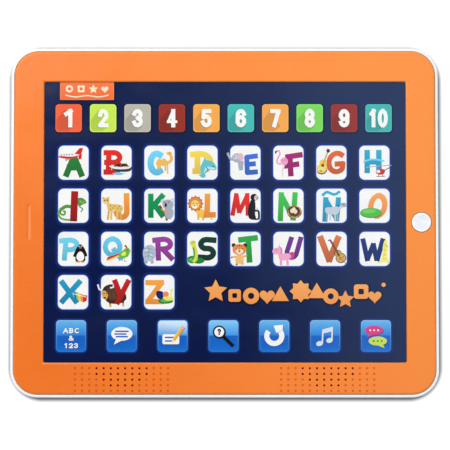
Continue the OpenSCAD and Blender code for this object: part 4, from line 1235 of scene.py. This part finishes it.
FUNCTION_KEY = (16.7, 17.6, 2.0)
FUNCTION_HALO = (34, 84, 176)
FUNCTION_RIM = [(58, 128, 200), (70, 140, 210), (150, 206, 246)]
FUNCTION_FACE = [(30, 116, 208), (22, 96, 190), (30, 102, 196)]
ICON_DARK = (14, 40, 92)
SHINE = [(56, 134, 216), (78, 160, 226), (108, 186, 238)]
SHINE_FOOT = 0.3
SHINE_CORNER = 1.7
# keys 3 and 4 get a paler shine: a painted reflection on the glossy film
SHINE_WITH_PAINTED_REFLECTION = {
    3: [(84, 156, 222), (178, 216, 244), (226, 242, 252)],
    4: [(74, 156, 232), (104, 184, 242), (138, 208, 250)],
}


def function_key(index, cx, cy, icon, material):
    """A glassy blue key: light above the middle, deep blue below it, with a thin pale edge."""
    width, height, radius = FUNCTION_KEY
    art = Print(cx, cy)
    for reach, share in ((1.0, 0.75), (0.5, 0.45)):
        art.add(blend_colours(FUNCTION_HALO, FILM_NAVY, share), grown(FUNCTION_KEY, reach))
    art.add(by_height(-8.8, 8.8, FUNCTION_RIM), grown(FUNCTION_KEY))
    art.add(by_height(-8.6, 0.3, FUNCTION_FACE), tile(0, 0, width - 0.8, height - 0.8, radius - 0.3))
    top, side = height / 2 - 0.4, width / 2 - 0.4
    bend = SHINE_CORNER
    gloss = [(-side, SHINE_FOOT), (side, SHINE_FOOT)] + arc(side - bend, top - bend, bend, bend, 0, 90, 6)
    gloss += arc(-side + bend, top - bend, bend, bend, 90, 180, 6)
    art.add(by_height(SHINE_FOOT, top, SHINE_WITH_PAINTED_REFLECTION.get(index, SHINE)), [gloss])
    for colour, rings in icon:
        art.add(ICON_DARK, moved(rings, 0.2, -0.25))
    for colour, rings in icon:
        art.add(colour, rings)
    art.build("function_key_%d" % index, material, PRINT_Z)


TITLE_INK = [shade((255, 156, 76), 0.97), (255, 176, 96)]
TITLE_EDGE = (10, 16, 44)
TITLE_SHAPES = {
    "star": lambda x, y, size: star(x, y, size * 1.12, size * 0.55),
    "heart": heart,
    "round": oval,
    "square": lambda x, y, size: tile(x, y, size * 1.8, size * 1.8, size * 0.35),
    "three": lambda x, y, size: star(x, y - size * 0.2, size * 1.2, size * 0.6, 3),
    "flower": lambda x, y, size: star(x, y, size * 1.1, size * 0.8, 8),
}
# each shape's kind, x, y and size
TITLE_ROW = [
    ("star", -5.0, -38.6, 6.0), ("square", 5.6, -41.0, 3.9), ("round", 14.8, -41.2, 4.6),
    ("heart", 23.8, -41.4, 4.3), ("three", 31.2, -40.4, 4.6), ("flower", 42.6, -38.6, 5.7),
    ("three", 51.6, -38.6, 4.8), ("round", 59.4, -41.4, 4.4), ("star", 67.6, -43.2, 4.6),
    ("square", 76.4, -38.8, 4.5), ("heart", 84.0, -41.6, 3.8), ("round", 89.0, -35.0, 1.2),
]
HOLLOW = ("round", "square")


def title_row(material):
    """Generic orange shapes in the place of the printed title."""
    art = Print()
    for kind, x, y, size in TITLE_ROW:
        art.add(TITLE_EDGE, TITLE_SHAPES[kind](x + 0.3, y - 0.3, size * 1.16 + 0.2))
    for kind, x, y, size in TITLE_ROW:
        art.add(by_height(-48, -32, TITLE_INK), TITLE_SHAPES[kind](x, y, size))
        if kind in HOLLOW and size > 3:
            art.add(TITLE_EDGE, TITLE_SHAPES[kind](x, y, size * 0.38))
    art.build("title_shapes", material, PRINT_Z)


TAG_AT = (-77.4, 74.25)
TAG_SIZE = (30.3, 10.8)
TAG_INK = [(250, 112, 58), (255, 131, 75)]


def corner_tag(material):
    """The orange tag at the upper left, with plain white shapes on it."""
    width, height = TAG_SIZE
    art = Print(*TAG_AT)
    art.add(shade(FILM_NAVY, 0.5), tile(0.4, -0.5, width + 1.0, height + 1.0, 0.6))
    art.add((255, 150, 104), tile(0, 0, width, height, 0.35))
    art.add(by_height(-5, 5, TAG_INK), tile(0, -0.1, width - 0.7, height - 0.6, 0.25))
    for colour, shapes in TAG_MARKS:
        art.add(colour, shapes)
    art.build("corner_tag", material, PRINT_Z)


NUMBER_ROW = (-87.65, 19.35, 58.6)
LETTER_GRID = (-84.85, 24.13, 33.5, 24.2)
FUNCTION_ROW = (-85.9, 28.42, -63.6)
LETTER_ROWS = [list("ABCDEFGH"), ["I", "J", "K", "L", "M", "N", "NN", "O"], list("PQRSTUVW"), list("XYZ")]


def print_keypad():
    inks = printed_ink()
    start, pitch, y = NUMBER_ROW
    for i, sign in enumerate(NUMBER_INKS):
        number_key(sign, start + pitch * i, y, inks)
    start, pitch, top, drop = LETTER_GRID
    for row, names in enumerate(LETTER_ROWS):
        for column, name in enumerate(names):
            letter_key(name, start + pitch * column, top - drop * row, inks)
    start, pitch, y = FUNCTION_ROW
    for i, icon in enumerate(ICONS.values()):
        function_key(i + 1, start + pitch * i, y, icon, inks)
    title_row(inks)
    corner_tag(inks)


# ---------------- the scene

make_camera()
make_sky()
make_key_light()
make_floor()
dress_cad_nodes()
print_keypad()
bpy.context.scene.view_settings.view_transform = "Standard"
